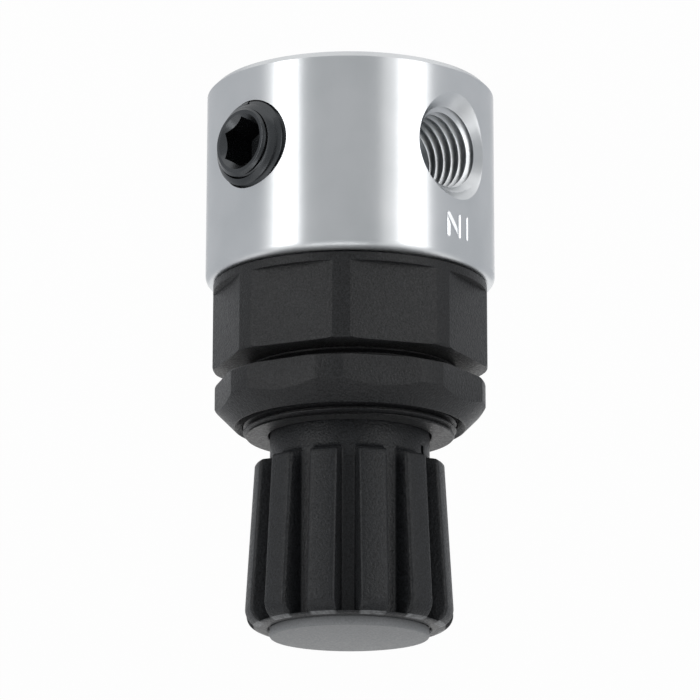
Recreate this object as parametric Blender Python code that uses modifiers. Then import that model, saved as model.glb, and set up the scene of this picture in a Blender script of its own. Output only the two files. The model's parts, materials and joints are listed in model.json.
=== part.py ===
"""Miniature panel-mount diaphragm pressure regulator with a push-to-lock ribbed knob.

The regulator stands on the flat bottom of its body with the knob on top, and the
origin is the middle of that bottom face. All round pieces share the Z axis, which is
also the axis of every moving piece. The inlet faces -X, the outlet +X, and the two
plugged gauge ports face -Y and +Y.
"""
import math

import bmesh
import bpy
from mathutils import Matrix, Vector

MM = 0.001

# Clearances
SEAT_GAP = 0.3 * MM           # along the axis, between faces that rest on each other
FIT_GAP = 0.2 * MM            # on the radius, between a piece and the bore that holds it
OVERSHOOT = 2.0 * MM          # how far a cutter passes the face that it opens

# Facets
FINE_STEPS = 48
PLAIN_STEPS = 24
SMALL_STEPS = 18
ARC_STEPS = 4
COIL_STEPS = 12
MERGE = 0.000001
SHARP_ANGLE = math.radians(32)

# Body
BODY_D = 41.0 * MM
FOOT_CHAMFER = 0.9 * MM
LIP_FILLET = 1.1 * MM
BODY_WALL = 3.1 * MM          # left outside the thread that takes the bonnet's skirt
THREAD_LEAD_IN = 0.5 * MM
LEDGE_DEPTH = 4.4 * MM        # body's top down to the ledge under the diaphragm's rim
LEDGE_W = 3.4 * MM            # ledge under the diaphragm's rim, outside the outlet chamber
CHAMBER_FLOOR_GAP = 0.9 * MM  # left under the stud's flange at the valve's full travel
SEAT_BORE_D = 13.2 * MM
SEAT_BORE_DEPTH = 5.6 * MM
INLET_BORE_D = 10.4 * MM
FLOOR_T = 4.6 * MM

# Ports, quarter-inch taper pipe size
PORT_Z = 12.0 * MM
PORT_BORE_D = 12.7 * MM
PORT_TAPER = 1.0 / 16.0       # change of diameter over length
PORT_WALL = 2.8 * MM          # left between a port's bottom and the inlet bore
PORT_LEAD_IN = 0.2 * MM
MOUTH_FLAT_W = 0.3 * MM       # flat ring left round a countersunk mouth
MOUTH_DEPTH = 0.95 * MM       # of that ring under the body's side
INLET_DRILL_D = 4.0 * MM
OUTLET_DRILL_D = 3.6 * MM
GAUGE_DRILL_D = 2.6 * MM

# Gauge port plugs
PLUG_D = 12.2 * MM
PLUG_LENGTH = 9.4 * MM
PLUG_STANDOUT = 1.85 * MM
PLUG_CHAMFER = 1.65 * MM
PLUG_HEX_AF = 6.35 * MM
PLUG_HEX_DEPTH = 5.6 * MM

# Valve seat, screwed into the body from above
SEAT_ORIFICE_D = 3.8 * MM
SEAT_LIP_H = 0.6 * MM
SEAT_LIP_W = 0.8 * MM
SEAT_SLOT_W = 1.6 * MM
SEAT_SLOT_DEPTH = 1.2 * MM
O_RING_CORD_D = 1.2 * MM
O_RING_RISE = 1.5 * MM        # from the seat's bottom face to the ring's middle

# Valve
VALVE_TRAVEL = 0.8 * MM
STEM_D = 2.0 * MM
STEM_CHAMFER = 0.5 * MM
POPPET_D = 6.8 * MM
POPPET_H = 3.2 * MM
SPIGOT_D = 5.2 * MM           # centres the valve spring
SPIGOT_H = 2.0 * MM
DISC_T = 0.9 * MM
VALVE_WIRE_D = 0.7 * MM
VALVE_SPRING_TURNS = 4.5
VALVE_SPRING_L = 5.8 * MM

# Diaphragm and what is clamped to it
DIAPHRAGM_T = 0.8 * MM
ROLL_R = 1.1 * MM             # middle of the rolled ring that lets the centre move
CLAMP_W = 2.6 * MM            # flat rim held under the slip ring and the bonnet's skirt
STUD_FLANGE_D = 15.0 * MM
STUD_FLANGE_T = 0.7 * MM
STUD_D = 4.4 * MM
RELIEF_HOLE_D = 1.4 * MM
PLATE_T = 1.0 * MM
PLATE_LIP_H = 0.7 * MM
PLATE_LIP_W = 0.9 * MM        # lip that centres the control spring
STUD_NUT_AF = 7.0 * MM
STUD_NUT_T = 1.6 * MM
SLIP_RING_T = 0.8 * MM

# Bonnet
COLLAR_STEP = 1.1 * MM        # from the body's side in to the collar's
COLLAR_T = 1.2 * MM
FLAT_STEP = 1.05 * MM         # from the collar's side in to the eight flats
BONNET_H = 12.15 * MM         # collar's underside up to the panel shoulder
BONNET_TURN = math.radians(5.1)
BONNET_EDGE = 0.4 * MM
NECK_SHARE = 30.0 / 41.0      # threaded neck, of the body's diameter
NECK_H = 9.65 * MM
NECK_EDGE = 0.7 * MM
NECK_WALL = 3.6 * MM
BONNET_BORE_STEP = 1.6 * MM   # from the skirt's bore in to the bonnet's
KEY_COUNT = 4
KEY_W = 2.4 * MM
KEY_H = 0.9 * MM
COUNTERBORE_DEPTH = 3.1 * MM
WEB_T = 3.5 * MM
THRUST_COLLAR_W = 2.3 * MM    # of the screw's collar and its pocket, on the radius
THRUST_POCKET_DEPTH = 1.5 * MM

# Push-to-lock teeth between knob and bonnet
LOCK_TRAVEL = 2.0 * MM
LOCK_TEETH = 12
LOCK_TOOTH_W = 2.6 * MM
LOCK_TOOTH_SIDE_GAP = 0.25 * MM
LOCK_WALL = 0.9 * MM          # left between the thrust pocket and the toothed ring
LOCK_ROOT_GAP = 0.1 * MM      # left at the teeth's roots when the knob is pushed down

# Adjusting screw and what it carries
SCREW_SHARE = 8.0 / 41.0      # of the body's diameter
JOURNAL_STEP = 0.5 * MM       # from the screw's thread out to its journal
THRUST_COLLAR_T = 1.2 * MM
THRUST_WASHER_T = 0.8 * MM
SCREW_GROOVE_DEPTH = 0.6 * MM
CLIP_T = 0.8 * MM
CLIP_W = 2.5 * MM
CLIP_MOUTH = math.radians(70)
JOURNAL_RISE = 0.4 * MM       # journal left above the clip
DRIVE_HEX_STEP = 0.7 * MM     # from the journal in to the driving hexagon's flats
DRIVE_HEX_L = 17.0 * MM
STOP_SCREW_D = 3.6 * MM
STOP_SCREW_L = 6.0 * MM
STOP_HEAD_LAP = 1.4 * MM       # of the head over the corners of the knob's driving socket
STOP_HEAD_T = 2.0 * MM
STOP_SLOT_W = 1.2 * MM
STOP_SLOT_DEPTH = 0.9 * MM

# Travelling spring nut and control spring
NUT_TRAVEL = 5.0 * MM         # four turns of a 1.25 mm thread
NUT_FLANGE_T = 2.0 * MM
NUT_BOSS_H = 4.4 * MM
CONTROL_WIRE_D = 2.2 * MM
CONTROL_SPRING_TURNS = 3.25
CONTROL_END_TURNS = 0.4       # laid flat at each end

# Panel nut
PANEL_GAP = 2.12 * MM         # shoulder to nut as it stands now
PANEL_NUT_WALL = 3.1 * MM     # of the nut's ring at its flats
PANEL_NUT_CORNER = 0.8 * MM   # from the flats out to the corners, which are turned round
PANEL_NUT_H = 6.2 * MM
PANEL_NUT_FACE_W = 1.1 * MM
PANEL_NUT_SINK = 0.6 * MM
PANEL_NUT_TURN = math.radians(10.2)

# Knob
KNOB_NECK_SHOWN = 4.1 * MM    # bonnet's end face up to the ribs
RIB_COUNT = 12
RIB_CLEARANCE = 0.4 * MM      # lets the panel nut come off over the ribs
RIB_FLARE = 1.2 * MM          # from the ribs' feet out to their heads
RIB_H = 23.25 * MM            # ribs' underside up to the knob's end face
RIB_TURN = math.radians(2.5)
RIB_FOOT_ROUND = 0.6 * MM
RIB_UNDERCUT_FILLET = 1.0 * MM
GROOVE_FLOOR_STEP = 0.1 * MM  # from the knob's neck out to the grooves' floor
GROOVE_W = 1.9 * MM           # at the floor
GROOVE_STOP = 0.8 * MM        # rim left above the grooves
KNOB_RIM_FILLET = 2.5 * MM
KNOB_BOTTOM_BORE_H = 9.0 * MM
STOP_HEAD_ROOM = 1.0 * MM      # round the stop screw's head in the knob's pocket
WINDOW_W = 0.85 * MM
WINDOW_H = 1.6 * MM
WINDOW_TURN = math.radians(-17.5)
CAP_RIM_W = 3.5 * MM          # rim of the knob left round the cap
CAP_RECESS = 0.45 * MM
CAP_STANDOUT = 1.15 * MM
CAP_EDGE = 0.3 * MM
CAP_SPIGOT_H = 3.0 * MM
CAP_SPIGOT_WALL = 1.2 * MM

# Flat sides of the octagons and hexagons
OCTAGON = 8
HEXAGON = 6

# Radii worked out from the sizes above
BODY_R = BODY_D / 2
THREAD_R = BODY_R - BODY_WALL
CHAMBER_R = THREAD_R - LEDGE_W
SEAT_BORE_R = SEAT_BORE_D / 2
INLET_BORE_R = INLET_BORE_D / 2
PORT_BOTTOM_R = INLET_BORE_R + PORT_WALL
RISER_R = (SEAT_BORE_R + CHAMBER_R) / 2
SKIRT_R = THREAD_R - FIT_GAP
SKIRT_BORE_R = SKIRT_R - CLAMP_W
COLLAR_R = BODY_R - COLLAR_STEP
BONNET_FLAT_R = COLLAR_R - FLAT_STEP
NECK_R = NECK_SHARE * BODY_R
BONNET_BORE_R = SKIRT_BORE_R - BONNET_BORE_STEP
COUNTERBORE_R = NECK_R - NECK_WALL
KNOB_NECK_R = COUNTERBORE_R - FIT_GAP
ROLL_MIDDLE_R = SKIRT_BORE_R - ROLL_R - DIAPHRAGM_T / 2
PLATE_R = ROLL_MIDDLE_R - ROLL_R - DIAPHRAGM_T / 2 - FIT_GAP / 2
CONTROL_SPRING_R = PLATE_R - PLATE_LIP_W - FIT_GAP - CONTROL_WIRE_D / 2
VALVE_SPRING_R = SPIGOT_D / 2 + FIT_GAP + VALVE_WIRE_D / 2
STUD_HOLE_R = STUD_D / 2 + FIT_GAP
SCREW_R = SCREW_SHARE * BODY_R
SCREW_HOLE_R = SCREW_R + FIT_GAP
JOURNAL_R = SCREW_R + JOURNAL_STEP
WEB_BORE_R = JOURNAL_R + FIT_GAP
DRIVE_HEX_AF = 2 * (JOURNAL_R - DRIVE_HEX_STEP)
NUT_BOSS_R = (SCREW_HOLE_R + CONTROL_SPRING_R - CONTROL_WIRE_D / 2) / 2
SOCKET_CORNER_R = (DRIVE_HEX_AF / 2 + FIT_GAP) / math.cos(math.pi / HEXAGON)
STOP_HEAD_R = SOCKET_CORNER_R + STOP_HEAD_LAP
KNOB_POCKET_R = STOP_HEAD_R + STOP_HEAD_ROOM
THRUST_COLLAR_R = JOURNAL_R + THRUST_COLLAR_W
THRUST_POCKET_R = THRUST_COLLAR_R + FIT_GAP
LOCK_INNER_R = THRUST_POCKET_R + LOCK_WALL
KNOB_BORE_R = LOCK_INNER_R + FIT_GAP
LOCK_TOOTH_H = LOCK_TRAVEL + LOCK_ROOT_GAP
PANEL_NUT_BORE_R = NECK_R + FIT_GAP
PANEL_NUT_FLAT_R = PANEL_NUT_BORE_R + PANEL_NUT_WALL
RIB_HEAD_R = NECK_R - RIB_CLEARANCE
RIB_FOOT_R = RIB_HEAD_R - RIB_FLARE
GROOVE_FLOOR_R = KNOB_NECK_R + GROOVE_FLOOR_STEP
CAP_R = RIB_HEAD_R - CAP_RIM_W

# Heights worked out from the sizes above, from the body's bottom face upwards
VALVE_SPRING_Z = FLOOR_T + SEAT_GAP
POPPET_Z = VALVE_SPRING_Z + VALVE_SPRING_L + SEAT_GAP
DISC_Z = POPPET_Z + POPPET_H + SEAT_GAP
SEAT_Z = DISC_Z + DISC_T + SEAT_GAP + SEAT_LIP_H
SEAT_LEDGE_Z = SEAT_Z - SEAT_GAP
CHAMBER_Z = SEAT_LEDGE_Z + SEAT_BORE_DEPTH
STUD_Z = CHAMBER_Z + CHAMBER_FLOOR_GAP + VALVE_TRAVEL
STEM_TOP_Z = STUD_Z - SEAT_GAP
LEDGE_Z = STUD_Z + STUD_FLANGE_T
DIAPHRAGM_Z = LEDGE_Z + SEAT_GAP
BODY_H = LEDGE_Z + LEDGE_DEPTH
PLATE_Z = DIAPHRAGM_Z + DIAPHRAGM_T + SEAT_GAP
STUD_NUT_Z = PLATE_Z + PLATE_T + SEAT_GAP
STUD_TOP_Z = STUD_NUT_Z + STUD_NUT_T
SLIP_RING_Z = DIAPHRAGM_Z + DIAPHRAGM_T + SEAT_GAP
SKIRT_Z = SLIP_RING_Z + SLIP_RING_T + SEAT_GAP
COLLAR_Z = BODY_H + SEAT_GAP
FLATS_Z = COLLAR_Z + COLLAR_T
SHOULDER_Z = COLLAR_Z + BONNET_H
NECK_END_Z = SHOULDER_Z + NECK_H
WEB_TOP_Z = NECK_END_Z - COUNTERBORE_DEPTH
WEB_BOTTOM_Z = WEB_TOP_Z - WEB_T
LOCK_FLOOR_Z = WEB_TOP_Z - LOCK_TOOTH_H - LOCK_ROOT_GAP
WASHER_Z = WEB_BOTTOM_Z + THRUST_POCKET_DEPTH - SEAT_GAP - THRUST_WASHER_T
THRUST_COLLAR_Z = WASHER_Z - SEAT_GAP - THRUST_COLLAR_T
SPRING_NUT_TOP_Z = THRUST_COLLAR_Z - SEAT_GAP
SPRING_NUT_Z = SPRING_NUT_TOP_Z - NUT_FLANGE_T
SCREW_END_Z = SPRING_NUT_Z - NUT_BOSS_H - NUT_TRAVEL
CLIP_Z = WEB_TOP_Z + SEAT_GAP
DRIVE_HEX_Z = CLIP_Z + CLIP_T + JOURNAL_RISE
SCREW_TOP_Z = DRIVE_HEX_Z + DRIVE_HEX_L
STOP_HEAD_Z = SCREW_TOP_Z + SEAT_GAP
KNOB_Z = WEB_TOP_Z + SEAT_GAP
RIB_Z = NECK_END_Z + KNOB_NECK_SHOWN
KNOB_TOP_Z = RIB_Z + RIB_H
CAP_Z = KNOB_TOP_Z - CAP_RECESS + SEAT_GAP
PANEL_NUT_Z = SHOULDER_Z + PANEL_GAP

# Colours as linear values, roughness and metallic
FINISHES = {
    "nickel_plate": ((0.56, 0.57, 0.58), 0.26, 1.0),
    "brass": ((0.61, 0.43, 0.18), 0.30, 1.0),
    "spring_steel": ((0.42, 0.42, 0.43), 0.35, 1.0),
    "zinc_steel": ((0.58, 0.58, 0.60), 0.38, 1.0),
    "black_steel": ((0.030, 0.030, 0.032), 0.42, 1.0),
    "black_acetal": ((0.030, 0.032, 0.034), 0.50, 0.0),
    "grey_acetal": ((0.140, 0.145, 0.150), 0.55, 0.0),
    "white_acetal": ((0.70, 0.70, 0.67), 0.45, 0.0),
    "black_rubber": ((0.018, 0.018, 0.018), 0.75, 0.0),
}


def clear_scene():
    """Remove every object that the file opens with."""
    for obj in list(bpy.data.objects):
        bpy.data.objects.remove(obj, do_unlink=True)


def new_collection(name):
    """Add an empty collection to the scene."""
    collection = bpy.data.collections.new(name)
    bpy.context.scene.collection.children.link(collection)
    return collection


def dress(obj, finish):
    """Give a piece a material of its own in one of the finishes."""
    colour, roughness, metallic = FINISHES[finish]
    material = bpy.data.materials.new(obj.name + "_" + finish)
    material.use_nodes = True
    shader = material.node_tree.nodes["Principled BSDF"]
    shader.inputs["Base Color"].default_value = (*colour, 1.0)
    shader.inputs["Roughness"].default_value = roughness
    shader.inputs["Metallic"].default_value = metallic
    obj.data.materials.clear()
    obj.data.materials.append(material)


def add_object(name, data, collection, z=0.0, turn=0.0):
    """Link new data as an object on the regulator's axis."""
    obj = bpy.data.objects.new(name, data)
    obj.location = (0.0, 0.0, z)
    obj.rotation_euler = (0.0, 0.0, turn)
    collection.objects.link(obj)
    return obj


def arc(centre_r, centre_z, radius, start, end, steps=ARC_STEPS):
    """Points of an arc in an outline, from one angle in degrees to another."""
    points = []
    for i in range(steps + 1):
        angle = math.radians(start + (end - start) * i / steps)
        points.append((centre_r + radius * math.cos(angle), centre_z + radius * math.sin(angle)))
    return points


def ring_outline(inner_r, outer_r, height, edge=0.0):
    """Closed outline of a plain ring that stands on height zero, with its top edge bevelled."""
    outline = [(inner_r, height), (outer_r - edge, height)]
    if edge > 0.0:
        outline.append((outer_r, height - edge))
    return outline + [(outer_r, 0.0), (inner_r, 0.0)]


def rod_outline(radius, height, edge=0.0):
    """Outline of a solid rod that stands on height zero, with its top edge bevelled."""
    outline = [(0.0, height), (radius - edge, height)]
    if edge > 0.0:
        outline.append((radius, height - edge))
    return outline + [(radius, 0.0), (0.0, 0.0)]


def turned(name, outline, collection, steps=PLAIN_STEPS, z=0.0, turn=0.0):
    """Turn an outline of (radius, height) points about the axis.

    The outline runs down its outer side. It is closed unless it starts on the axis.
    A small number of steps gives a prism whose first corner is at the angle turn.
    """
    points = [(radius, 0.0, height) for radius, height in outline]
    edges = [(i, i + 1) for i in range(len(points) - 1)]
    if outline[0][0] > 0.0:
        edges.append((len(points) - 1, 0))
    mesh = bpy.data.meshes.new(name)
    mesh.from_pydata(points, edges, [])
    obj = add_object(name, mesh, collection, z, turn)
    screw = obj.modifiers.new("turn", "SCREW")
    screw.axis = "Z"
    screw.steps = steps
    screw.render_steps = steps
    screw.use_merge_vertices = True
    screw.merge_threshold = MERGE
    screw.use_smooth_shade = True
    return obj


def corner_radius(flat_r, sides):
    """Distance from the axis to the corners of a regular prism, given that to its flats."""
    return flat_r / math.cos(math.pi / sides)


def blocks(name, collection, count, inner_r, outer_r, width, low, high, turn=0.0):
    """Equal blocks spaced round the axis, as one object."""
    shape = bmesh.new()
    size = Matrix.Diagonal((outer_r - inner_r, width, high - low, 1.0))
    middle = Matrix.Translation(((inner_r + outer_r) / 2, 0.0, (low + high) / 2))
    for i in range(count):
        spin = Matrix.Rotation(turn + 2 * math.pi * i / count, 4, "Z")
        bmesh.ops.create_cube(shape, size=1.0, matrix=spin @ middle @ size)
    mesh = bpy.data.meshes.new(name)
    shape.to_mesh(mesh)
    shape.free()
    return add_object(name, mesh, collection)


def combine(obj, other, operation):
    """Cut, join or keep what is shared with another object, which is hidden as a guide."""
    boolean = obj.modifiers.new(other.name, "BOOLEAN")
    boolean.operation = operation
    boolean.solver = "EXACT"
    boolean.object = other
    other.hide_render = True
    other.display_type = "WIRE"


def cut(obj, cutter):
    """Cut a piece with a cutter."""
    combine(obj, cutter, "DIFFERENCE")


def coil(name, collection, wire_d, middle_r, turns, end_turns, length, z):
    """Wire coil that stands on height z, its ends laid flat over end_turns each."""
    count = round(turns * COIL_STEPS)
    rise = length - wire_d
    curve = bpy.data.curves.new(name, "CURVE")
    curve.dimensions = "3D"
    curve.bevel_depth = wire_d / 2
    curve.bevel_resolution = 2
    curve.use_fill_caps = True
    spline = curve.splines.new("POLY")
    spline.points.add(count)
    for i in range(count + 1):
        turn = turns * i / count
        share = (turn - end_turns) / (turns - 2 * end_turns)
        height = wire_d / 2 + rise * min(max(share, 0.0), 1.0)
        angle = 2 * math.pi * turn
        x = middle_r * math.cos(angle)
        y = middle_r * math.sin(angle)
        spline.points[i].co = (x, y, height, 1.0)
    return add_object(name, curve, collection, z)


def settle(obj):
    """Apply a mesh piece's modifiers and shade it smooth between its sharp edges."""
    if obj.type != "MESH":
        return
    depsgraph = bpy.context.evaluated_depsgraph_get()
    mesh = bpy.data.meshes.new_from_object(obj.evaluated_get(depsgraph))
    obj.modifiers.clear()
    obj.data = mesh
    mesh.shade_smooth()
    mesh.set_sharp_from_angle(angle=SHARP_ANGLE)


def port_drill(name, guides, turn, bore_d, mouth_r, drill_d, countersunk):
    """Stepped cutter for one port, along the direction turn from the axis.

    The threaded bore runs from mouth_r in to the ports' bottom, and a plain drilling
    of drill_d goes on from there to the axis, unless drill_d is nought. Where countersunk
    is true, the mouth has a narrow flat ring and a 45 degree cone out from it.
    """
    outside = BODY_R + OVERSHOOT
    bore_r = bore_d / 2
    end_bore_r = bore_r - (mouth_r - PORT_BOTTOM_R) * PORT_TAPER / 2
    mouth_cut_r = bore_r + PORT_LEAD_IN
    outline = [(0.0, outside)]
    if countersunk:
        flat_r = mouth_cut_r + MOUTH_FLAT_W
        outline += [(flat_r + outside - mouth_r, outside), (flat_r, mouth_r)]
    else:
        outline.append((mouth_cut_r, outside))
    outline += [(mouth_cut_r, mouth_r), (bore_r, mouth_r - PORT_LEAD_IN), (end_bore_r, PORT_BOTTOM_R)]
    if drill_d > 0.0:
        outline += [(drill_d / 2, PORT_BOTTOM_R), (drill_d / 2, 0.0), (0.0, 0.0)]
    else:
        outline.append((0.0, PORT_BOTTOM_R))
    cutter = turned(name, outline, guides, PLAIN_STEPS, PORT_Z)
    cutter.rotation_euler = (0.0, math.pi / 2, turn)
    return cutter


def riser_drill(name, guides, turn, diameter):
    """Vertical drilling from a port up to the outlet chamber."""
    height = CHAMBER_Z + OVERSHOOT / 2 - PORT_Z
    cutter = turned(name, rod_outline(diameter / 2, height), guides, SMALL_STEPS, PORT_Z)
    cutter.location.x = RISER_R * math.cos(turn)
    cutter.location.y = RISER_R * math.sin(turn)
    return cutter


def make_body(parts, guides):
    """Nickel-plated brass body, with four side ports round a stepped middle bore."""
    outline = [
        (0.0, FLOOR_T),
        (INLET_BORE_R, FLOOR_T),
        (INLET_BORE_R, SEAT_LEDGE_Z),
        (SEAT_BORE_R, SEAT_LEDGE_Z),
        (SEAT_BORE_R, CHAMBER_Z),
        (CHAMBER_R, CHAMBER_Z),
        (CHAMBER_R, LEDGE_Z),
        (THREAD_R, LEDGE_Z),
        (THREAD_R, BODY_H - THREAD_LEAD_IN),
        (THREAD_R + THREAD_LEAD_IN, BODY_H),
    ]
    outline += arc(BODY_R - LIP_FILLET, BODY_H - LIP_FILLET, LIP_FILLET, 90, 0)
    outline += [(BODY_R, FOOT_CHAMFER), (BODY_R - FOOT_CHAMFER, 0.0), (0.0, 0.0)]
    body = turned("body", outline, parts, FINE_STEPS)

    face_r = BODY_R - MOUTH_DEPTH
    inlet, outlet, front, rear = math.pi, 0.0, -math.pi / 2, math.pi / 2
    cut(body, port_drill("inlet_port_drill", guides, inlet, PORT_BORE_D, face_r, INLET_DRILL_D, True))
    cut(body, port_drill("outlet_port_drill", guides, outlet, PORT_BORE_D, face_r, 0.0, True))
    cut(body, riser_drill("outlet_riser_drill", guides, outlet, OUTLET_DRILL_D))
    gauge_bore_d = PLUG_D + 2 * FIT_GAP
    for side, turn in (("front", front), ("rear", rear)):
        cut(body, port_drill(side + "_gauge_port_drill", guides, turn, gauge_bore_d, BODY_R, 0.0, False))
        cut(body, riser_drill(side + "_gauge_riser_drill", guides, turn, GAUGE_DRILL_D))
    dress(body, "nickel_plate")


def make_gauge_plug(name, parts, guides, turn):
    """Black pipe plug with a hexagon socket, standing a little out of its gauge port."""
    outline = [
        (0.0, PLUG_LENGTH),
        (PLUG_D / 2 - PLUG_CHAMFER, PLUG_LENGTH),
        (PLUG_D / 2, PLUG_LENGTH - PLUG_CHAMFER),
        (PLUG_D / 2 - PLUG_LENGTH * PORT_TAPER / 2, 0.0),
        (0.0, 0.0),
    ]
    plug = turned(name, outline, parts, PLAIN_STEPS)
    inner_end_r = BODY_R + PLUG_STANDOUT - PLUG_LENGTH
    direction = Vector((math.cos(turn), math.sin(turn), 0.0))
    plug.location = inner_end_r * direction + Vector((0.0, 0.0, PORT_Z))
    plug.rotation_euler = (0.0, math.pi / 2, turn)

    socket_r = corner_radius(PLUG_HEX_AF / 2, HEXAGON)
    depth = PLUG_HEX_DEPTH + OVERSHOOT
    socket = turned(name + "_socket", rod_outline(socket_r, depth), guides, HEXAGON)
    bottom_r = inner_end_r + PLUG_LENGTH - PLUG_HEX_DEPTH
    socket.location = bottom_r * direction + Vector((0.0, 0.0, PORT_Z))
    socket.rotation_euler = (0.0, math.pi / 2, turn)
    cut(plug, socket)
    dress(plug, "black_steel")


def make_valve_seat(parts, guides):
    """Brass seat insert with a raised lip underneath, and the ring that seals it in the body."""
    height = CHAMBER_Z - SEAT_Z
    outer_r = SEAT_BORE_R - FIT_GAP
    orifice_r = SEAT_ORIFICE_D / 2
    cord_r = O_RING_CORD_D / 2
    ring_r = outer_r - cord_r
    groove_r = ring_r - cord_r - FIT_GAP
    outline = [
        (orifice_r, height),
        (outer_r, height),
        (outer_r, O_RING_RISE + cord_r + FIT_GAP),
        (groove_r, O_RING_RISE + cord_r + FIT_GAP),
        (groove_r, O_RING_RISE - cord_r - FIT_GAP),
        (outer_r, O_RING_RISE - cord_r - FIT_GAP),
        (outer_r, 0.0),
        (orifice_r + SEAT_LIP_W, 0.0),
        (orifice_r + SEAT_LIP_W / 2, -SEAT_LIP_H),
        (orifice_r, -SEAT_LIP_H),
    ]
    seat = turned("valve_seat", outline, parts, PLAIN_STEPS, SEAT_Z)
    cut(seat, blocks("seat_slot", guides, 1, -outer_r - OVERSHOOT, outer_r + OVERSHOOT,
                     SEAT_SLOT_W, CHAMBER_Z - SEAT_SLOT_DEPTH, CHAMBER_Z + OVERSHOOT))
    dress(seat, "brass")

    section = arc(ring_r, 0.0, cord_r, 90, -270, 2 * ARC_STEPS)[:-1]
    o_ring = turned("seat_o_ring", section, parts, PLAIN_STEPS, SEAT_Z + O_RING_RISE)
    dress(o_ring, "black_rubber")


def make_valve(parts):
    """Brass poppet with its stem, the rubber disc that closes on the seat, and its spring."""
    stem_r = STEM_D / 2
    outline = [
        (0.0, STEM_TOP_Z - POPPET_Z),
        (stem_r - STEM_CHAMFER, STEM_TOP_Z - POPPET_Z),
        (stem_r, STEM_TOP_Z - POPPET_Z - STEM_CHAMFER),
        (stem_r, POPPET_H),
        (POPPET_D / 2, POPPET_H),
        (POPPET_D / 2, 0.0),
        (SPIGOT_D / 2, 0.0),
        (SPIGOT_D / 2, -SPIGOT_H),
        (0.0, -SPIGOT_H),
    ]
    poppet = turned("valve_poppet", outline, parts, SMALL_STEPS, POPPET_Z)
    dress(poppet, "brass")

    disc = turned("valve_disc", ring_outline(stem_r + FIT_GAP, POPPET_D / 2, DISC_T), parts,
                  SMALL_STEPS, DISC_Z)
    dress(disc, "black_rubber")

    spring = coil("valve_spring", parts, VALVE_WIRE_D, VALVE_SPRING_R, VALVE_SPRING_TURNS,
                  0.0, VALVE_SPRING_L, VALVE_SPRING_Z)
    dress(spring, "spring_steel")


def make_diaphragm(parts, guides):
    """Rubber diaphragm with a rolled ring, its stud, plate and nut, and the slip ring on its rim."""
    half = DIAPHRAGM_T / 2
    rim_r = SKIRT_R
    # where the roll's outer curve rises out of the flat rubber
    toe = math.degrees(math.asin(half / (ROLL_R + half)))
    upper = [(STUD_HOLE_R, DIAPHRAGM_T)]
    upper += arc(ROLL_MIDDLE_R, half, ROLL_R + half, 180 - toe, toe, 2 * ARC_STEPS)
    upper += [(rim_r, DIAPHRAGM_T)]
    lower = [(rim_r, 0.0), (ROLL_MIDDLE_R + ROLL_R - half, 0.0)]
    lower += arc(ROLL_MIDDLE_R, half, ROLL_R - half, 0, 180, ARC_STEPS)
    lower += [(ROLL_MIDDLE_R - ROLL_R + half, 0.0), (STUD_HOLE_R, 0.0)]
    diaphragm = turned("diaphragm", upper + lower, parts, PLAIN_STEPS, DIAPHRAGM_Z)
    dress(diaphragm, "black_rubber")

    hole_r = RELIEF_HOLE_D / 2
    stud_outline = [
        (hole_r, STUD_TOP_Z - STUD_Z),
        (STUD_D / 2, STUD_TOP_Z - STUD_Z),
        (STUD_D / 2, STUD_FLANGE_T),
        (STUD_FLANGE_D / 2, STUD_FLANGE_T),
        (STUD_FLANGE_D / 2, 0.0),
        (hole_r, 0.0),
    ]
    stud = turned("relief_stud", stud_outline, parts, SMALL_STEPS, STUD_Z)
    dress(stud, "brass")

    plate_outline = [
        (STUD_HOLE_R, PLATE_T),
        (PLATE_R - PLATE_LIP_W, PLATE_T),
        (PLATE_R - PLATE_LIP_W, PLATE_T + PLATE_LIP_H),
        (PLATE_R, PLATE_T + PLATE_LIP_H),
        (PLATE_R, 0.0),
        (STUD_HOLE_R, 0.0),
    ]
    plate = turned("diaphragm_plate", plate_outline, parts, PLAIN_STEPS, PLATE_Z)
    dress(plate, "zinc_steel")

    nut_r = corner_radius(STUD_NUT_AF / 2, HEXAGON)
    nut = turned("stud_nut", rod_outline(nut_r, STUD_NUT_T), parts, HEXAGON, STUD_NUT_Z)
    nut_bore = turned("stud_nut_bore", rod_outline(STUD_HOLE_R, STUD_NUT_T + 2 * OVERSHOOT),
                      guides, SMALL_STEPS, STUD_NUT_Z - OVERSHOOT)
    cut(nut, nut_bore)
    dress(nut, "zinc_steel")

    slip_outline = ring_outline(SKIRT_BORE_R, rim_r, SLIP_RING_T)
    slip_ring = turned("slip_ring", slip_outline, parts, PLAIN_STEPS, SLIP_RING_Z)
    dress(slip_ring, "white_acetal")


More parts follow.
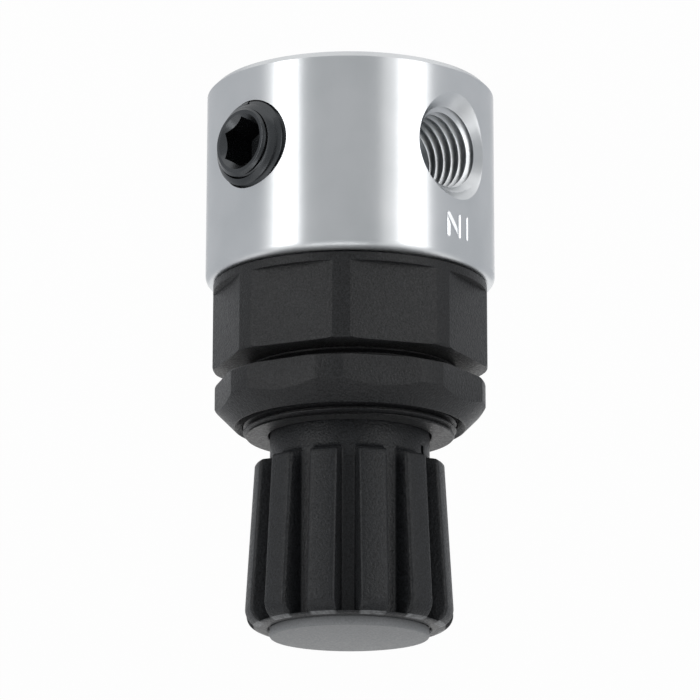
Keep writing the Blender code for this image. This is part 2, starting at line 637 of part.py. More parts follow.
def make_bonnet(parts, guides):
    """Black bonnet: skirt, collar, octagon, threaded neck and the web that carries the screw."""
    taper_end_z = COLLAR_Z + COLLAR_T + SKIRT_BORE_R - BONNET_BORE_R
    outline = [
        (COUNTERBORE_R, NECK_END_Z - BONNET_EDGE),
        (COUNTERBORE_R + BONNET_EDGE, NECK_END_Z),
        (NECK_R - NECK_EDGE, NECK_END_Z),
        (NECK_R, NECK_END_Z - NECK_EDGE),
        (NECK_R, SHOULDER_Z),
        (COLLAR_R - BONNET_EDGE, SHOULDER_Z),
        (COLLAR_R, SHOULDER_Z - BONNET_EDGE),
        (COLLAR_R, COLLAR_Z),
        (SKIRT_R, COLLAR_Z),
        (SKIRT_R, SKIRT_Z),
        (SKIRT_BORE_R, SKIRT_Z),
        (SKIRT_BORE_R, COLLAR_Z + COLLAR_T),
        (BONNET_BORE_R, taper_end_z),
        (BONNET_BORE_R, WEB_BOTTOM_Z),
        (THRUST_POCKET_R, WEB_BOTTOM_Z),
        (THRUST_POCKET_R, WEB_BOTTOM_Z + THRUST_POCKET_DEPTH),
        (WEB_BORE_R, WEB_BOTTOM_Z + THRUST_POCKET_DEPTH),
        (WEB_BORE_R, WEB_TOP_Z),
        (LOCK_INNER_R, WEB_TOP_Z),
        (LOCK_INNER_R, LOCK_FLOOR_Z),
        (COUNTERBORE_R, LOCK_FLOOR_Z),
    ]
    bonnet = turned("bonnet", outline, parts, FINE_STEPS)

    flats_outline = ring_outline(corner_radius(BONNET_FLAT_R, OCTAGON), COLLAR_R + 2 * OVERSHOOT,
                                 SHOULDER_Z + OVERSHOOT - FLATS_Z)
    cut(bonnet, turned("bonnet_flats", flats_outline, guides, OCTAGON, FLATS_Z, BONNET_TURN))

    keys = blocks("spring_nut_keys", guides, KEY_COUNT, BONNET_BORE_R - KEY_H,
                  BONNET_BORE_R + KEY_H, KEY_W, taper_end_z, WEB_BOTTOM_Z + KEY_H)
    combine(bonnet, keys, "UNION")
    teeth = blocks("lock_teeth", guides, LOCK_TEETH, LOCK_INNER_R - FIT_GAP,
                   COUNTERBORE_R + FIT_GAP, LOCK_TOOTH_W, LOCK_FLOOR_Z - FIT_GAP, WEB_TOP_Z,
                   RIB_TURN)
    combine(bonnet, teeth, "UNION")
    dress(bonnet, "black_acetal")


def make_adjusting_screw(parts, guides):
    """Adjusting screw in the bonnet's web, with its washer, spring clip and end screw."""
    groove_r = JOURNAL_R - SCREW_GROOVE_DEPTH
    hex_r = corner_radius(DRIVE_HEX_AF / 2, HEXAGON)
    clip_low = CLIP_Z - FIT_GAP - SCREW_END_Z
    clip_high = CLIP_Z + CLIP_T + FIT_GAP - SCREW_END_Z
    outline = [
        (0.0, DRIVE_HEX_Z - SCREW_END_Z),
        (JOURNAL_R, DRIVE_HEX_Z - SCREW_END_Z),
        (JOURNAL_R, clip_high),
        (groove_r, clip_high),
        (groove_r, clip_low),
        (JOURNAL_R, clip_low),
        (JOURNAL_R, THRUST_COLLAR_Z + THRUST_COLLAR_T - SCREW_END_Z),
        (THRUST_COLLAR_R, THRUST_COLLAR_Z + THRUST_COLLAR_T - SCREW_END_Z),
        (THRUST_COLLAR_R, THRUST_COLLAR_Z - SCREW_END_Z),
        (SCREW_R, THRUST_COLLAR_Z - SCREW_END_Z),
        (SCREW_R, BONNET_EDGE),
        (SCREW_R - BONNET_EDGE, 0.0),
        (0.0, 0.0),
    ]
    screw = turned("adjusting_screw", outline, parts, PLAIN_STEPS, SCREW_END_Z)
    drive = turned("screw_drive_hexagon", rod_outline(hex_r, DRIVE_HEX_L + FIT_GAP), guides,
                   HEXAGON, DRIVE_HEX_Z - FIT_GAP, RIB_TURN)
    combine(screw, drive, "UNION")
    tapped = turned("end_screw_hole", rod_outline(STOP_SCREW_D / 2 + FIT_GAP,
                                                  STOP_SCREW_L + SEAT_GAP + OVERSHOOT),
                    guides, SMALL_STEPS, SCREW_TOP_Z - STOP_SCREW_L - SEAT_GAP)
    cut(screw, tapped)
    dress(screw, "zinc_steel")

    washer = turned("thrust_washer", ring_outline(WEB_BORE_R, THRUST_COLLAR_R, THRUST_WASHER_T),
                    parts, PLAIN_STEPS, WASHER_Z)
    dress(washer, "white_acetal")

    clip_r = groove_r + FIT_GAP
    clip = turned("screw_clip", ring_outline(clip_r, clip_r + CLIP_W, CLIP_T), parts,
                  PLAIN_STEPS, CLIP_Z)
    mouth_w = 2 * clip_r * math.sin(CLIP_MOUTH / 2)
    cut(clip, blocks("clip_mouth", guides, 1, 0.0, clip_r + CLIP_W + OVERSHOOT, mouth_w,
                     CLIP_Z - OVERSHOOT, CLIP_Z + CLIP_T + OVERSHOOT))
    dress(clip, "spring_steel")

    end_outline = [
        (0.0, STOP_SCREW_L + STOP_HEAD_T),
        (STOP_HEAD_R - BONNET_EDGE, STOP_SCREW_L + STOP_HEAD_T),
        (STOP_HEAD_R, STOP_SCREW_L + STOP_HEAD_T - BONNET_EDGE),
        (STOP_HEAD_R, STOP_SCREW_L),
        (STOP_SCREW_D / 2, STOP_SCREW_L),
        (STOP_SCREW_D / 2, 0.0),
        (0.0, 0.0),
    ]
    end_screw = turned("knob_stop_screw", end_outline, parts, SMALL_STEPS,
                       STOP_HEAD_Z - STOP_SCREW_L)
    head_top = STOP_HEAD_Z + STOP_HEAD_T
    cut(end_screw, blocks("stop_screw_slot", guides, 1, -STOP_HEAD_R - OVERSHOOT,
                          STOP_HEAD_R + OVERSHOOT, STOP_SLOT_W,
                          head_top - STOP_SLOT_DEPTH, head_top + OVERSHOOT))
    dress(end_screw, "zinc_steel")


def make_spring_nut(parts, guides):
    """Spring nut that the screw drives down the bonnet's keys, and the spring that it presses."""
    flange_r = BONNET_BORE_R - FIT_GAP
    outline = [
        (SCREW_HOLE_R, NUT_FLANGE_T),
        (flange_r, NUT_FLANGE_T),
        (flange_r, 0.0),
        (NUT_BOSS_R, 0.0),
        (NUT_BOSS_R, -NUT_BOSS_H),
        (SCREW_HOLE_R, -NUT_BOSS_H),
    ]
    nut = turned("spring_nut", outline, parts, PLAIN_STEPS, SPRING_NUT_Z)
    cut(nut, blocks("spring_nut_keyways", guides, KEY_COUNT, BONNET_BORE_R - KEY_H - FIT_GAP,
                    flange_r + OVERSHOOT, KEY_W + 2 * FIT_GAP, SPRING_NUT_Z - OVERSHOOT,
                    SPRING_NUT_TOP_Z + OVERSHOOT))
    dress(nut, "brass")

    spring_z = PLATE_Z + PLATE_T + SEAT_GAP
    length = SPRING_NUT_Z - SEAT_GAP - spring_z
    spring = coil("control_spring", parts, CONTROL_WIRE_D, CONTROL_SPRING_R,
                  CONTROL_SPRING_TURNS, CONTROL_END_TURNS, length, spring_z)
    dress(spring, "spring_steel")


def make_panel_nut(parts, guides):
    """Octagonal panel nut on the neck, its outer end turned to a cone."""
    blank_r = PANEL_NUT_FLAT_R + PANEL_NUT_CORNER
    face_r = PANEL_NUT_BORE_R + PANEL_NUT_FACE_W
    outline = [
        (PANEL_NUT_BORE_R, PANEL_NUT_H - PANEL_NUT_SINK),
        (PANEL_NUT_BORE_R + PANEL_NUT_SINK, PANEL_NUT_H),
        (face_r, PANEL_NUT_H),
        (blank_r, PANEL_NUT_H - (blank_r - face_r)),
        (blank_r, 0.0),
        (PANEL_NUT_BORE_R, 0.0),
    ]
    nut = turned("panel_nut", outline, parts, FINE_STEPS, PANEL_NUT_Z)
    flats_outline = ring_outline(corner_radius(PANEL_NUT_FLAT_R, OCTAGON), blank_r + 2 * OVERSHOOT,
                                 PANEL_NUT_H + 2 * OVERSHOOT)
    cut(nut, turned("panel_nut_flats", flats_outline, guides, OCTAGON,
                    PANEL_NUT_Z - OVERSHOOT, PANEL_NUT_TURN))
    dress(nut, "black_acetal")


def groove_cutters(guides):
    """Channels between the knob's ribs, whose sides stand square to the ribs' middle planes."""
    half_pitch = math.pi / RIB_COUNT
    floor_x = GROOVE_W / 2
    mouth_y = RIB_HEAD_R + OVERSHOOT
    mouth_x = floor_x + (mouth_y - GROOVE_FLOOR_R) * math.tan(half_pitch)
    low = RIB_Z - OVERSHOOT
    high = KNOB_TOP_Z - GROOVE_STOP
    shape = bmesh.new()
    section = [(floor_x, GROOVE_FLOOR_R), (mouth_x, mouth_y),
               (-mouth_x, mouth_y), (-floor_x, GROOVE_FLOOR_R)]
    for i in range(RIB_COUNT):
        # the channel's section is drawn with its middle line along Y
        angle = RIB_TURN + half_pitch + 2 * half_pitch * i - math.pi / 2
        spin = Matrix.Rotation(angle, 4, "Z")
        corners = [shape.verts.new(spin @ Vector((x, y, low))) for x, y in section]
        floor = shape.faces.new(corners)
        raised = bmesh.ops.extrude_face_region(shape, geom=[floor])
        tops = [item for item in raised["geom"] if isinstance(item, bmesh.types.BMVert)]
        bmesh.ops.translate(shape, verts=tops, vec=(0.0, 0.0, high - low))
    bmesh.ops.recalc_face_normals(shape, faces=shape.faces)
    mesh = bpy.data.meshes.new("knob_grooves")
    shape.to_mesh(mesh)
    shape.free()
    return add_object("knob_grooves", mesh, guides)


def make_knob(parts, guides):
    """Ribbed knob: neck with lock teeth, flared ribs between grooves, and a recess for the cap."""
    recess_r = CAP_R + FIT_GAP
    rim_z = KNOB_TOP_Z - KNOB_RIM_FILLET
    fillet = RIB_UNDERCUT_FILLET
    outline = [
        (0.0, SCREW_TOP_Z),
        (KNOB_POCKET_R, SCREW_TOP_Z),
        (KNOB_POCKET_R, KNOB_TOP_Z - CAP_RECESS),
        (recess_r, KNOB_TOP_Z - CAP_RECESS),
        (recess_r, KNOB_TOP_Z),
    ]
    outline += arc(RIB_HEAD_R - KNOB_RIM_FILLET, rim_z, KNOB_RIM_FILLET, 90, 0)
    outline += arc(RIB_FOOT_R - RIB_FOOT_ROUND, RIB_Z + RIB_FOOT_ROUND, RIB_FOOT_ROUND, 0, -90, 3)
    outline += arc(KNOB_NECK_R + fillet, RIB_Z - fillet, fillet, 90, 180, 3)
    outline += [
        (KNOB_NECK_R, KNOB_Z),
        (KNOB_BORE_R, KNOB_Z),
        (KNOB_BORE_R, KNOB_Z + KNOB_BOTTOM_BORE_H),
        (0.0, KNOB_Z + KNOB_BOTTOM_BORE_H),
    ]
    outline = [(radius, height - KNOB_Z) for radius, height in outline]
    knob = turned("knob", outline, parts, FINE_STEPS, KNOB_Z)
    cut(knob, groove_cutters(guides))

    hex_low = KNOB_Z + KNOB_BOTTOM_BORE_H - OVERSHOOT
    hex_cutter = turned("knob_drive_socket", rod_outline(SOCKET_CORNER_R, SCREW_TOP_Z + OVERSHOOT - hex_low),
                        guides, HEXAGON, hex_low, RIB_TURN)
    cut(knob, hex_cutter)
    cut(knob, blocks("knob_lock_gaps", guides, LOCK_TEETH, KNOB_BORE_R - OVERSHOOT,
                     KNOB_NECK_R + OVERSHOOT, LOCK_TOOTH_W + 2 * LOCK_TOOTH_SIDE_GAP,
                     KNOB_Z - OVERSHOOT, KNOB_Z + LOCK_TOOTH_H, RIB_TURN))
    window_top = RIB_Z - SEAT_GAP
    cut(knob, blocks("knob_windows", guides, 2, KNOB_BORE_R - OVERSHOOT, KNOB_NECK_R + OVERSHOOT / 2,
                     WINDOW_W, window_top - WINDOW_H, window_top, WINDOW_TURN))
    dress(knob, "black_acetal")

    spigot_r = KNOB_POCKET_R - FIT_GAP
    cap_h = CAP_RECESS - SEAT_GAP + CAP_STANDOUT
    cap_outline = [
        (0.0, cap_h),
        (CAP_R - CAP_EDGE, cap_h),
        (CAP_R, cap_h - CAP_EDGE),
        (CAP_R, 0.0),
        (spigot_r, 0.0),
        (spigot_r, -CAP_SPIGOT_H),
        (spigot_r - CAP_SPIGOT_WALL, -CAP_SPIGOT_H),
        (spigot_r - CAP_SPIGOT_WALL, 0.0),
        (0.0, 0.0),
    ]
    cap = turned("knob_cap", cap_outline, parts, PLAIN_STEPS, CAP_Z)
    dress(cap, "grey_acetal")


def main():
    """Build every piece of the regulator."""
    clear_scene()
    parts = new_collection("pressure_regulator")
    guides = new_collection("cutters")
    make_body(parts, guides)
    make_gauge_plug("front_gauge_plug", parts, guides, -math.pi / 2)
    make_gauge_plug("rear_gauge_plug", parts, guides, math.pi / 2)
    make_valve_seat(parts, guides)
    make_valve(parts)
    make_diaphragm(parts, guides)
    make_bonnet(parts, guides)
    make_adjusting_screw(parts, guides)
    make_spring_nut(parts, guides)
    make_panel_nut(parts, guides)
    make_knob(parts, guides)
    bpy.context.view_layer.update()
    for obj in list(parts.objects):
        settle(obj)


main()
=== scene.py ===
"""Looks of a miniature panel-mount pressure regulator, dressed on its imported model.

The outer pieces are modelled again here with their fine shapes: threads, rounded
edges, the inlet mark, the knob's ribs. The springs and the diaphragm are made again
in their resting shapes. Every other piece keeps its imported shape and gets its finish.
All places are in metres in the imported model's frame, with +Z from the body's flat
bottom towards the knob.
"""
import json
import logging
import math
from dataclasses import dataclass
from enum import Enum
from typing import Callable, Sequence

import bmesh
import bpy
from mathutils import Matrix, Vector

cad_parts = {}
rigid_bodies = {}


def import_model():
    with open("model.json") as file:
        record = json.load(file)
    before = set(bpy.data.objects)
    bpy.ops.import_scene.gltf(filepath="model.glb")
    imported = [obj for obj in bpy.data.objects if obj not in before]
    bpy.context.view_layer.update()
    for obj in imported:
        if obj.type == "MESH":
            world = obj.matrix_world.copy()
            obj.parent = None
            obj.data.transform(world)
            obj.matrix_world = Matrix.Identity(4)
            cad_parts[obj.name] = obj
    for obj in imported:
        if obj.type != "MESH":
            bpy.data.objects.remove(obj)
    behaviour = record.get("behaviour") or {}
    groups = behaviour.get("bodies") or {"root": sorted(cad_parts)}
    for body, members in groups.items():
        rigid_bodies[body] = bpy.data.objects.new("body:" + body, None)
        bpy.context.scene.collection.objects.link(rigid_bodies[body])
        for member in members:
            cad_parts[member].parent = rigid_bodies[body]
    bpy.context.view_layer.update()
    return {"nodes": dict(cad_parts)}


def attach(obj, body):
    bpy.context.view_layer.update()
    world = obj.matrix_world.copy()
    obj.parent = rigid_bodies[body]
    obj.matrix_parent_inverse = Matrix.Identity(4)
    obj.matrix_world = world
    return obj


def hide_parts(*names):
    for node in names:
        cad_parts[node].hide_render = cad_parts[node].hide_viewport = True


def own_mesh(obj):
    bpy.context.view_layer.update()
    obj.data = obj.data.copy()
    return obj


MM = 0.001
FULL_TURN = 2 * math.pi
MERGE = 1e-7
SMOOTH_UP_TO = math.radians(30)
# Angle from which an octagon's edges are rounded off.
SHARP_FROM = math.radians(14)
# How far a cutter overlaps what it opens into, and how far it stands out of a piece.
OVER = 1.0 * MM
CLEAR = 2.0 * MM
WIRE_SIDES = 12
BORE_FACETS = 96
THREAD_STEPS = 72
COIL_STEPS = 48
# The knob's ribs, which the bonnet's lock teeth and the painted highlights on the rib ends follow.
RIB_COUNT = 12
RIB_TURN = math.radians(2.5)
# A taper pipe thread's radius grows by this share of its length.
TAPER = 1.0 / 32.0
# Pitch of the neck's ridges and the nut's, as the photograph shows them.
NECK_PITCH = 0.95 * MM
# Noise seldom leaves this range, which is spread over two shades or two roughnesses.
NOISE_RANGE = (0.3, 0.7)
log = logging.getLogger("regulator")

Corner = tuple[float, float, float]
Outline = list[tuple[float, float]]


class Operation(Enum):
    """What one solid does to another."""

    CUT = "DIFFERENCE"
    JOIN = "UNION"
    KEEP = "INTERSECT"


class Section(Enum):
    """Section that is swept along a helix."""

    WIRE = "wire"
    OUTWARD_RIDGE = "outward_ridge"
    INWARD_RIDGE = "inward_ridge"


class Facing(Enum):
    """Direction that a port faces, as a turn about the axis."""

    OUTLET = 0.0
    REAR = math.pi / 2
    INLET = math.pi
    FRONT = -math.pi / 2


def srgb(code: str) -> tuple[float, float, float, float]:
    """Turn a hex colour into linear values.

    Args:
        code: Six hex digits, with or without a leading hash.

    Returns:
        Linear red, green and blue, and an alpha of one.
    """
    digits = code.lstrip("#")
    channels = []
    for start in (0, 2, 4):
        value = int(digits[start:start + 2], 16) / 255
        channels.append(value / 12.92 if value <= 0.04045 else ((value + 0.055) / 1.055) ** 2.4)
    return (*channels, 1.0)


def rounded(corners: Sequence[Corner], steps: int = 4) -> Outline:
    """Round the corners of a closed outline.

    Args:
        corners: Radius, height and fillet of each corner, in order.
        steps: Straight pieces in each fillet.

    Returns:
        Points of radius and height.
    """
    outline = []
    for i, (radius, height, fillet) in enumerate(corners):
        here = Vector((radius, height))
        if fillet <= 0.0:
            outline.append((radius, height))
            continue
        before = Vector(corners[i - 1][:2]) - here
        after = Vector(corners[(i + 1) % len(corners)][:2]) - here
        before.normalize()
        after.normalize()
        half = before.angle(after) / 2
        centre = here + (before + after).normalized() * fillet / math.sin(half)
        first = here + before * fillet / math.tan(half) - centre
        last = here + after * fillet / math.tan(half) - centre
        sweep = first.angle_signed(last)
        for step in range(steps + 1):
            angle = -sweep * step / steps
            cos, sin = math.cos(angle), math.sin(angle)
            outline.append((centre.x + first.x * cos - first.y * sin,
                            centre.y + first.x * sin + first.y * cos))
    return outline


def to_object(shape: bmesh.types.BMesh, name: str) -> bpy.types.Object:
    """Close a shape into an object whose faces point outwards.

    Args:
        shape: The shape, which is freed.
        name: Name of the object.

    Returns:
        The object, at the origin.
    """
    bmesh.ops.recalc_face_normals(shape, faces=shape.faces)
    mesh = bpy.data.meshes.new(name)
    shape.to_mesh(mesh)
    shape.free()
    piece = bpy.data.objects.new(name, mesh)
    bpy.context.scene.collection.objects.link(piece)
    return piece


def lathe(name: str, outline: Outline, steps: int, turn: float = 0.0) -> bpy.types.Object:
    """Turn an outline about the Z axis.

    Args:
        name: Name of the object.
        outline: Points of radius and height. It closes on itself, or along the axis.
        steps: Facets round the axis.
        turn: Angle of the first facet's corner.

    Returns:
        A closed solid.
    """
    shape = bmesh.new()
    rings = []
    for radius, height in outline:
        if radius < MERGE:
            rings.append([shape.verts.new((0.0, 0.0, height))])
            continue
        angles = [turn + FULL_TURN * i / steps for i in range(steps)]
        rings.append([shape.verts.new((radius * math.cos(a), radius * math.sin(a), height))
                      for a in angles])
    for j, ring in enumerate(rings):
        skin(shape, ring, rings[(j + 1) % len(rings)], steps)
    return to_object(shape, name)


def skin(shape: bmesh.types.BMesh, ring: list, following: list, steps: int) -> None:
    """Join two neighbouring rings with faces; a ring of one vertex is a pole.

    Args:
        shape: The shape that holds both rings.
        ring: One ring.
        following: The other.
        steps: Facets round the axis.
    """
    for i in range(steps):
        k = (i + 1) % steps
        if len(ring) == 1 and len(following) == 1:
            return
        if len(ring) == 1:
            shape.faces.new((ring[0], following[i], following[k]))
        elif len(following) == 1:
            shape.faces.new((ring[i], following[0], ring[k]))
        else:
            shape.faces.new((ring[i], following[i], following[k], ring[k]))


def settle(piece: bpy.types.Object) -> None:
    """Turn a piece and its live modifiers into a plain mesh."""
    depsgraph = bpy.context.evaluated_depsgraph_get()
    mesh = bpy.data.meshes.new_from_object(piece.evaluated_get(depsgraph))
    piece.modifiers.clear()
    piece.data = mesh


def carve(piece: bpy.types.Object, tool: bpy.types.Object,
          operation: Operation = Operation.CUT) -> None:
    """Cut, join or trim a piece with a tool, which is used up.

    Args:
        piece: The solid that is changed.
        tool: The solid that does it.
        operation: What it does.
    """
    boolean = piece.modifiers.new(tool.name, "BOOLEAN")
    boolean.operation = operation.value
    boolean.solver = "EXACT"
    boolean.object = tool
    settle(piece)
    bpy.data.objects.remove(tool, do_unlink=True)


def soften(piece: bpy.types.Object, width: float, chosen: Callable[[Vector, float], bool],
           segments: int = 2) -> None:
    """Round off the edges of a piece that a rule picks out.

    Args:
        piece: The piece.
        width: Width of the rounding.
        chosen: Rule on an edge's middle and on the angle between its faces.
        segments: Facets across the rounding.
    """
    shape = bmesh.new()
    shape.from_mesh(piece.data)
    bmesh.ops.remove_doubles(shape, verts=shape.verts, dist=MERGE)
    edges = []
    for edge in shape.edges:
        middle = (edge.verts[0].co + edge.verts[1].co) / 2
        if edge.is_manifold and chosen(middle, edge.calc_face_angle()):
            edges.append(edge)
    bmesh.ops.bevel(shape, geom=edges, offset=width, segments=segments, profile=0.5,
                    affect="EDGES", clamp_overlap=True)
    shape.to_mesh(piece.data)
    shape.free()


def place(piece: bpy.types.Object, matrix: Matrix) -> bpy.types.Object:
    """Move a piece's mesh, so that its object stays at the origin."""
    piece.data.transform(matrix)
    return piece


def outward(facing: Facing, height: float) -> Matrix:
    """Matrix that lays the Z axis along a port's direction, at the port's height."""
    lean = Matrix.Rotation(math.pi / 2, 4, "Y")
    return Matrix.Translation((0.0, 0.0, height)) @ Matrix.Rotation(facing.value, 4, "Z") @ lean


def block(name: str, low: Sequence[float], high: Sequence[float]) -> bpy.types.Object:
    """Make a plain block between two corners, for use as a tool."""
    shape = bmesh.new()
    size = Vector(high) - Vector(low)
    middle = (Vector(high) + Vector(low)) / 2
    bmesh.ops.create_cube(shape, size=1.0,
                          matrix=Matrix.Translation(middle) @ Matrix.Diagonal((*size, 1.0)))
    return to_object(shape, name)


def rod(name: str, radius: float, low: float, high: float, facets: int,
        turn: float = 0.0) -> bpy.types.Object:
    """Make a plain cylinder or prism between two heights, for use as a tool."""
    return lathe(name, [(0.0, high), (radius, high), (radius, low), (0.0, low)], facets, turn)


def eight_flats(flat_r: float, outside: float, low: float, high: float,
                turn: float) -> bpy.types.Object:
    """Make the cutter that leaves an octagon.

    Args:
        flat_r: Distance of the flats from the axis.
        outside: Radius of the cutter's outer corners.
        low: Height at which the flats start.
        high: Height at which they end.
        turn: Angle of the octagon's first corner.

    Returns:
        An eight-sided ring.
    """
    corner_r = flat_r / math.cos(math.pi / 8)
    return lathe("flats", [(corner_r, high), (outside, high), (outside, low), (corner_r, low)],
                 8, turn)


def from_axis(point: Vector) -> float:
    """Distance of a point from the Z axis."""
    return math.hypot(point.x, point.y)


class NodeTree:
    """A node tree that is built a node at a time."""

    def __init__(self, tree: bpy.types.NodeTree, own: str = "ShaderNode") -> None:
        """Keep the tree and the prefix of its own kinds of node."""
        self.tree = tree
        self.own = own

    def node(self, kind: str, *values: object, settings: dict | None = None,
             **inputs: object) -> bpy.types.Node:
        """Add a node with its settings and links.

        Args:
            kind: Node type without its prefix, and an operation after a dot.
            values: What the first inputs get, in order.
            settings: The node's own properties, or the stops of a ramp.
            inputs: What other inputs get, by name with _ for a space.

        Returns:
            The node.
        """
        kind, _, operation = kind.partition(".")
        prefix = self.own if hasattr(bpy.types, self.own + kind) else "ShaderNode"
        node = self.tree.nodes.new(prefix + kind)
        if operation:
            node.operation = operation
        for name, value in (settings or {}).items():
            if name == "stops":
                for element, (position, code) in zip(node.color_ramp.elements, value):
                    element.position = position
                    element.color = srgb(code)
            else:
                setattr(node, name, value)
        for socket, value in zip(node.inputs, values):
            self.feed(socket, value)
        for name, value in inputs.items():
            self.feed(node.inputs[name.replace("_", " ")], value)
        return node

    def feed(self, socket: bpy.types.NodeSocket, value: object) -> None:
        """Link a socket or a node's first output, or set a plain value."""
        if isinstance(value, bpy.types.Node):
            value = value.outputs[0]
        if isinstance(value, bpy.types.NodeSocket):
            self.tree.links.new(value, socket)
        else:
            socket.default_value = value


class GeometryTree(NodeTree):
    """A geometry-node group with named inputs."""

    def __init__(self, name: str) -> None:
        """Start an empty group."""
        super().__init__(bpy.data.node_groups.new(name, "GeometryNodeTree"), "GeometryNode")
        self.tree.interface.new_socket("Geometry", in_out="OUTPUT",
                                       socket_type="NodeSocketGeometry")
        self.source = self.tree.nodes.new("NodeGroupInput")
        self.result = self.tree.nodes.new("NodeGroupOutput")

    def size(self, name: str, kind: str = "Float") -> bpy.types.NodeSocket:
        """Add a named input.

        Args:
            name: Name of the input.
            kind: Kind of socket, as in NodeSocketFloat.

        Returns:
            The socket that gives its value inside the group.
        """
        self.tree.interface.new_socket(name, in_out="INPUT", socket_type="NodeSocket" + kind)
        return self.source.outputs[name]

    def finish(self, geometry: bpy.types.Node) -> None:
        """End the group with real geometry in the material that its input names."""
        material = self.size("Material", "Material")
        real = self.node("RealizeInstances", geometry)
        dressed = self.node("SetMaterial", Geometry=real, Material=material)
        self.feed(self.result.inputs[0], dressed)

    def make(self, name: str, **values: object) -> bpy.types.Object:
        """Run the group once and keep the result as a plain mesh.

        Args:
            name: Name of the piece.
            values: Values by input name, with _ for a space.

        Returns:
            The piece, at the origin.
        """
        piece = bpy.data.objects.new(name, bpy.data.meshes.new(name))
        bpy.context.scene.collection.objects.link(piece)
        modifier = piece.modifiers.new(name, "NODES")
        modifier.node_group = self.tree
        for socket in self.tree.interface.items_tree:
            key = socket.name.replace(" ", "_")
            if socket.in_out == "INPUT" and key in values:
                modifier[socket.identifier] = values[key]
        settle(piece)
        return piece


class HelixSweep(GeometryTree):
    """Tree that sweeps a section along a helix: a coil or a thread's ridge."""

    def __init__(self, section: Section) -> None:
        """Build the tree for one section."""
        super().__init__("helix_" + section.value)
        turns, flat_turns = self.size("Turns"), self.size("Flat Turns")
        start, end = self.size("Start Radius"), self.size("End Radius")
        base, rise = self.size("Base"), self.size("Rise")
        path = self.node("ResampleCurve", Curve=self.node("CurvePrimitiveLine"),
                         Count=self.size("Points", "Int"))
        share = self.node("SplineParameter")
        turn = self.node("Math.MULTIPLY", share, turns)
        angle = self.node("Math.MULTIPLY", turn, FULL_TURN)
        growth = self.node("Math.SUBTRACT", end, start)
        radius = self.node("Math.MULTIPLY_ADD", growth, share, start)
        both_flats = self.node("Math.MULTIPLY", flat_turns, 2.0)
        risen = self.node("Math.DIVIDE", self.node("Math.SUBTRACT", turn, flat_turns),
                          self.node("Math.SUBTRACT", turns, both_flats))
        kept = self.node("Math.MINIMUM", self.node("Math.MAXIMUM", risen, 0.0), 1.0)
        place_on = self.node(
            "CombineXYZ", self.node("Math.MULTIPLY", radius, self.node("Math.COSINE", angle)),
            self.node("Math.MULTIPLY", radius, self.node("Math.SINE", angle)),
            self.node("Math.MULTIPLY_ADD", rise, kept, base))
        moved = self.node("SetPosition", Geometry=path, Position=place_on)
        upright = self.node("SetCurveNormal", Curve=moved, settings={"mode": "Z_UP"})
        self.finish(self.node("CurveToMesh", Curve=upright, Profile_Curve=self.outline(section),
                              Fill_Caps=True))

    def outline(self, section: Section) -> bpy.types.Node:
        """Draw the section that is swept.

        Args:
            section: A round wire, or a ridge that points away from or to the axis.

        Returns:
            The node that gives its curve.
        """
        if section is Section.WIRE:
            return self.node("CurvePrimitiveCircle", Resolution=WIRE_SIDES,
                             Radius=self.size("Wire Radius"))
        ridge = self.node("CurvePrimitiveQuadrilateral", Offset=0.0,
                          Height=self.size("Ridge Height"), Top_Width=self.size("Crest Width"),
                          Bottom_Width=self.size("Base Width"), settings={"mode": "TRAPEZOID"})
        quarter = math.pi / 2 if section is Section.INWARD_RIDGE else -math.pi / 2
        return self.node("Transform", Geometry=ridge, Rotation=(0.0, 0.0, quarter))


class RingOfPieces(GeometryTree):
    """Tree that sets copies of one piece at equal angles round the axis."""

    def __init__(self) -> None:
        """Build the tree."""
        super().__init__("ring_of_pieces")
        shape = self.node("ObjectInfo", settings={"transform_space": "ORIGINAL"},
                          Object=self.size("Piece", "Object"))
        count = self.size("Count", "Int")
        step = self.node("Math.DIVIDE", FULL_TURN, count)
        angle = self.node("Math.MULTIPLY_ADD", self.node("InputIndex"), step, self.size("Turn"))
        copies = self.node("InstanceOnPoints", Points=self.node("Points", count),
                           Instance=shape.outputs["Geometry"],
                           Rotation=self.node("CombineXYZ", Z=angle))
        real = self.node("RealizeInstances", copies)
        self.finish(self.node("MergeByDistance", Geometry=real,
                              Distance=self.size("Merge Distance")))

    def repeat(self, name: str, piece: bpy.types.Object, count: int,
               turn: float) -> bpy.types.Object:
        """Set copies of a piece round the axis, and use the piece up.

        Args:
            name: Name of the result.
            piece: What is copied, standing in its place at the angle zero.
            count: Number of copies.
            turn: Angle of the first copy.

        Returns:
            One piece with all the copies, closed where they meet.
        """
        ring = self.make(name, Piece=piece, Count=count, Turn=turn, Merge_Distance=MERGE)
        bpy.data.objects.remove(piece, do_unlink=True)
        return ring


class Shader(NodeTree):
    """A Principled material with procedural nodes."""

    def __init__(self, name: str) -> None:
        """Start a material with its shader node."""
        self.material = bpy.data.materials.new(name)
        self.material.use_nodes = True
        super().__init__(self.material.node_tree)
        self.surface = self.tree.nodes["Principled BSDF"]
        self.result = self.tree.nodes["Material Output"].inputs["Surface"]

    def turning(self, place_on: bpy.types.NodeSocket) -> bpy.types.Node:
        """Turn a place into distance from the axis and height, for marks that a lathe leaves."""
        apart = self.node("SeparateXYZ", place_on)
        flat = self.node("CombineXYZ", apart.outputs["X"], apart.outputs["Y"])
        length = self.node("VectorMath.LENGTH", flat)
        return self.node("CombineXYZ", length.outputs["Value"], apart.outputs["Z"])

    def dress(self, **inputs: object) -> bpy.types.Material:
        """Feed the shader's own inputs and give the material."""
        for name, value in inputs.items():
            self.feed(self.surface.inputs[name.replace("_", " ")], value)
        return self.material


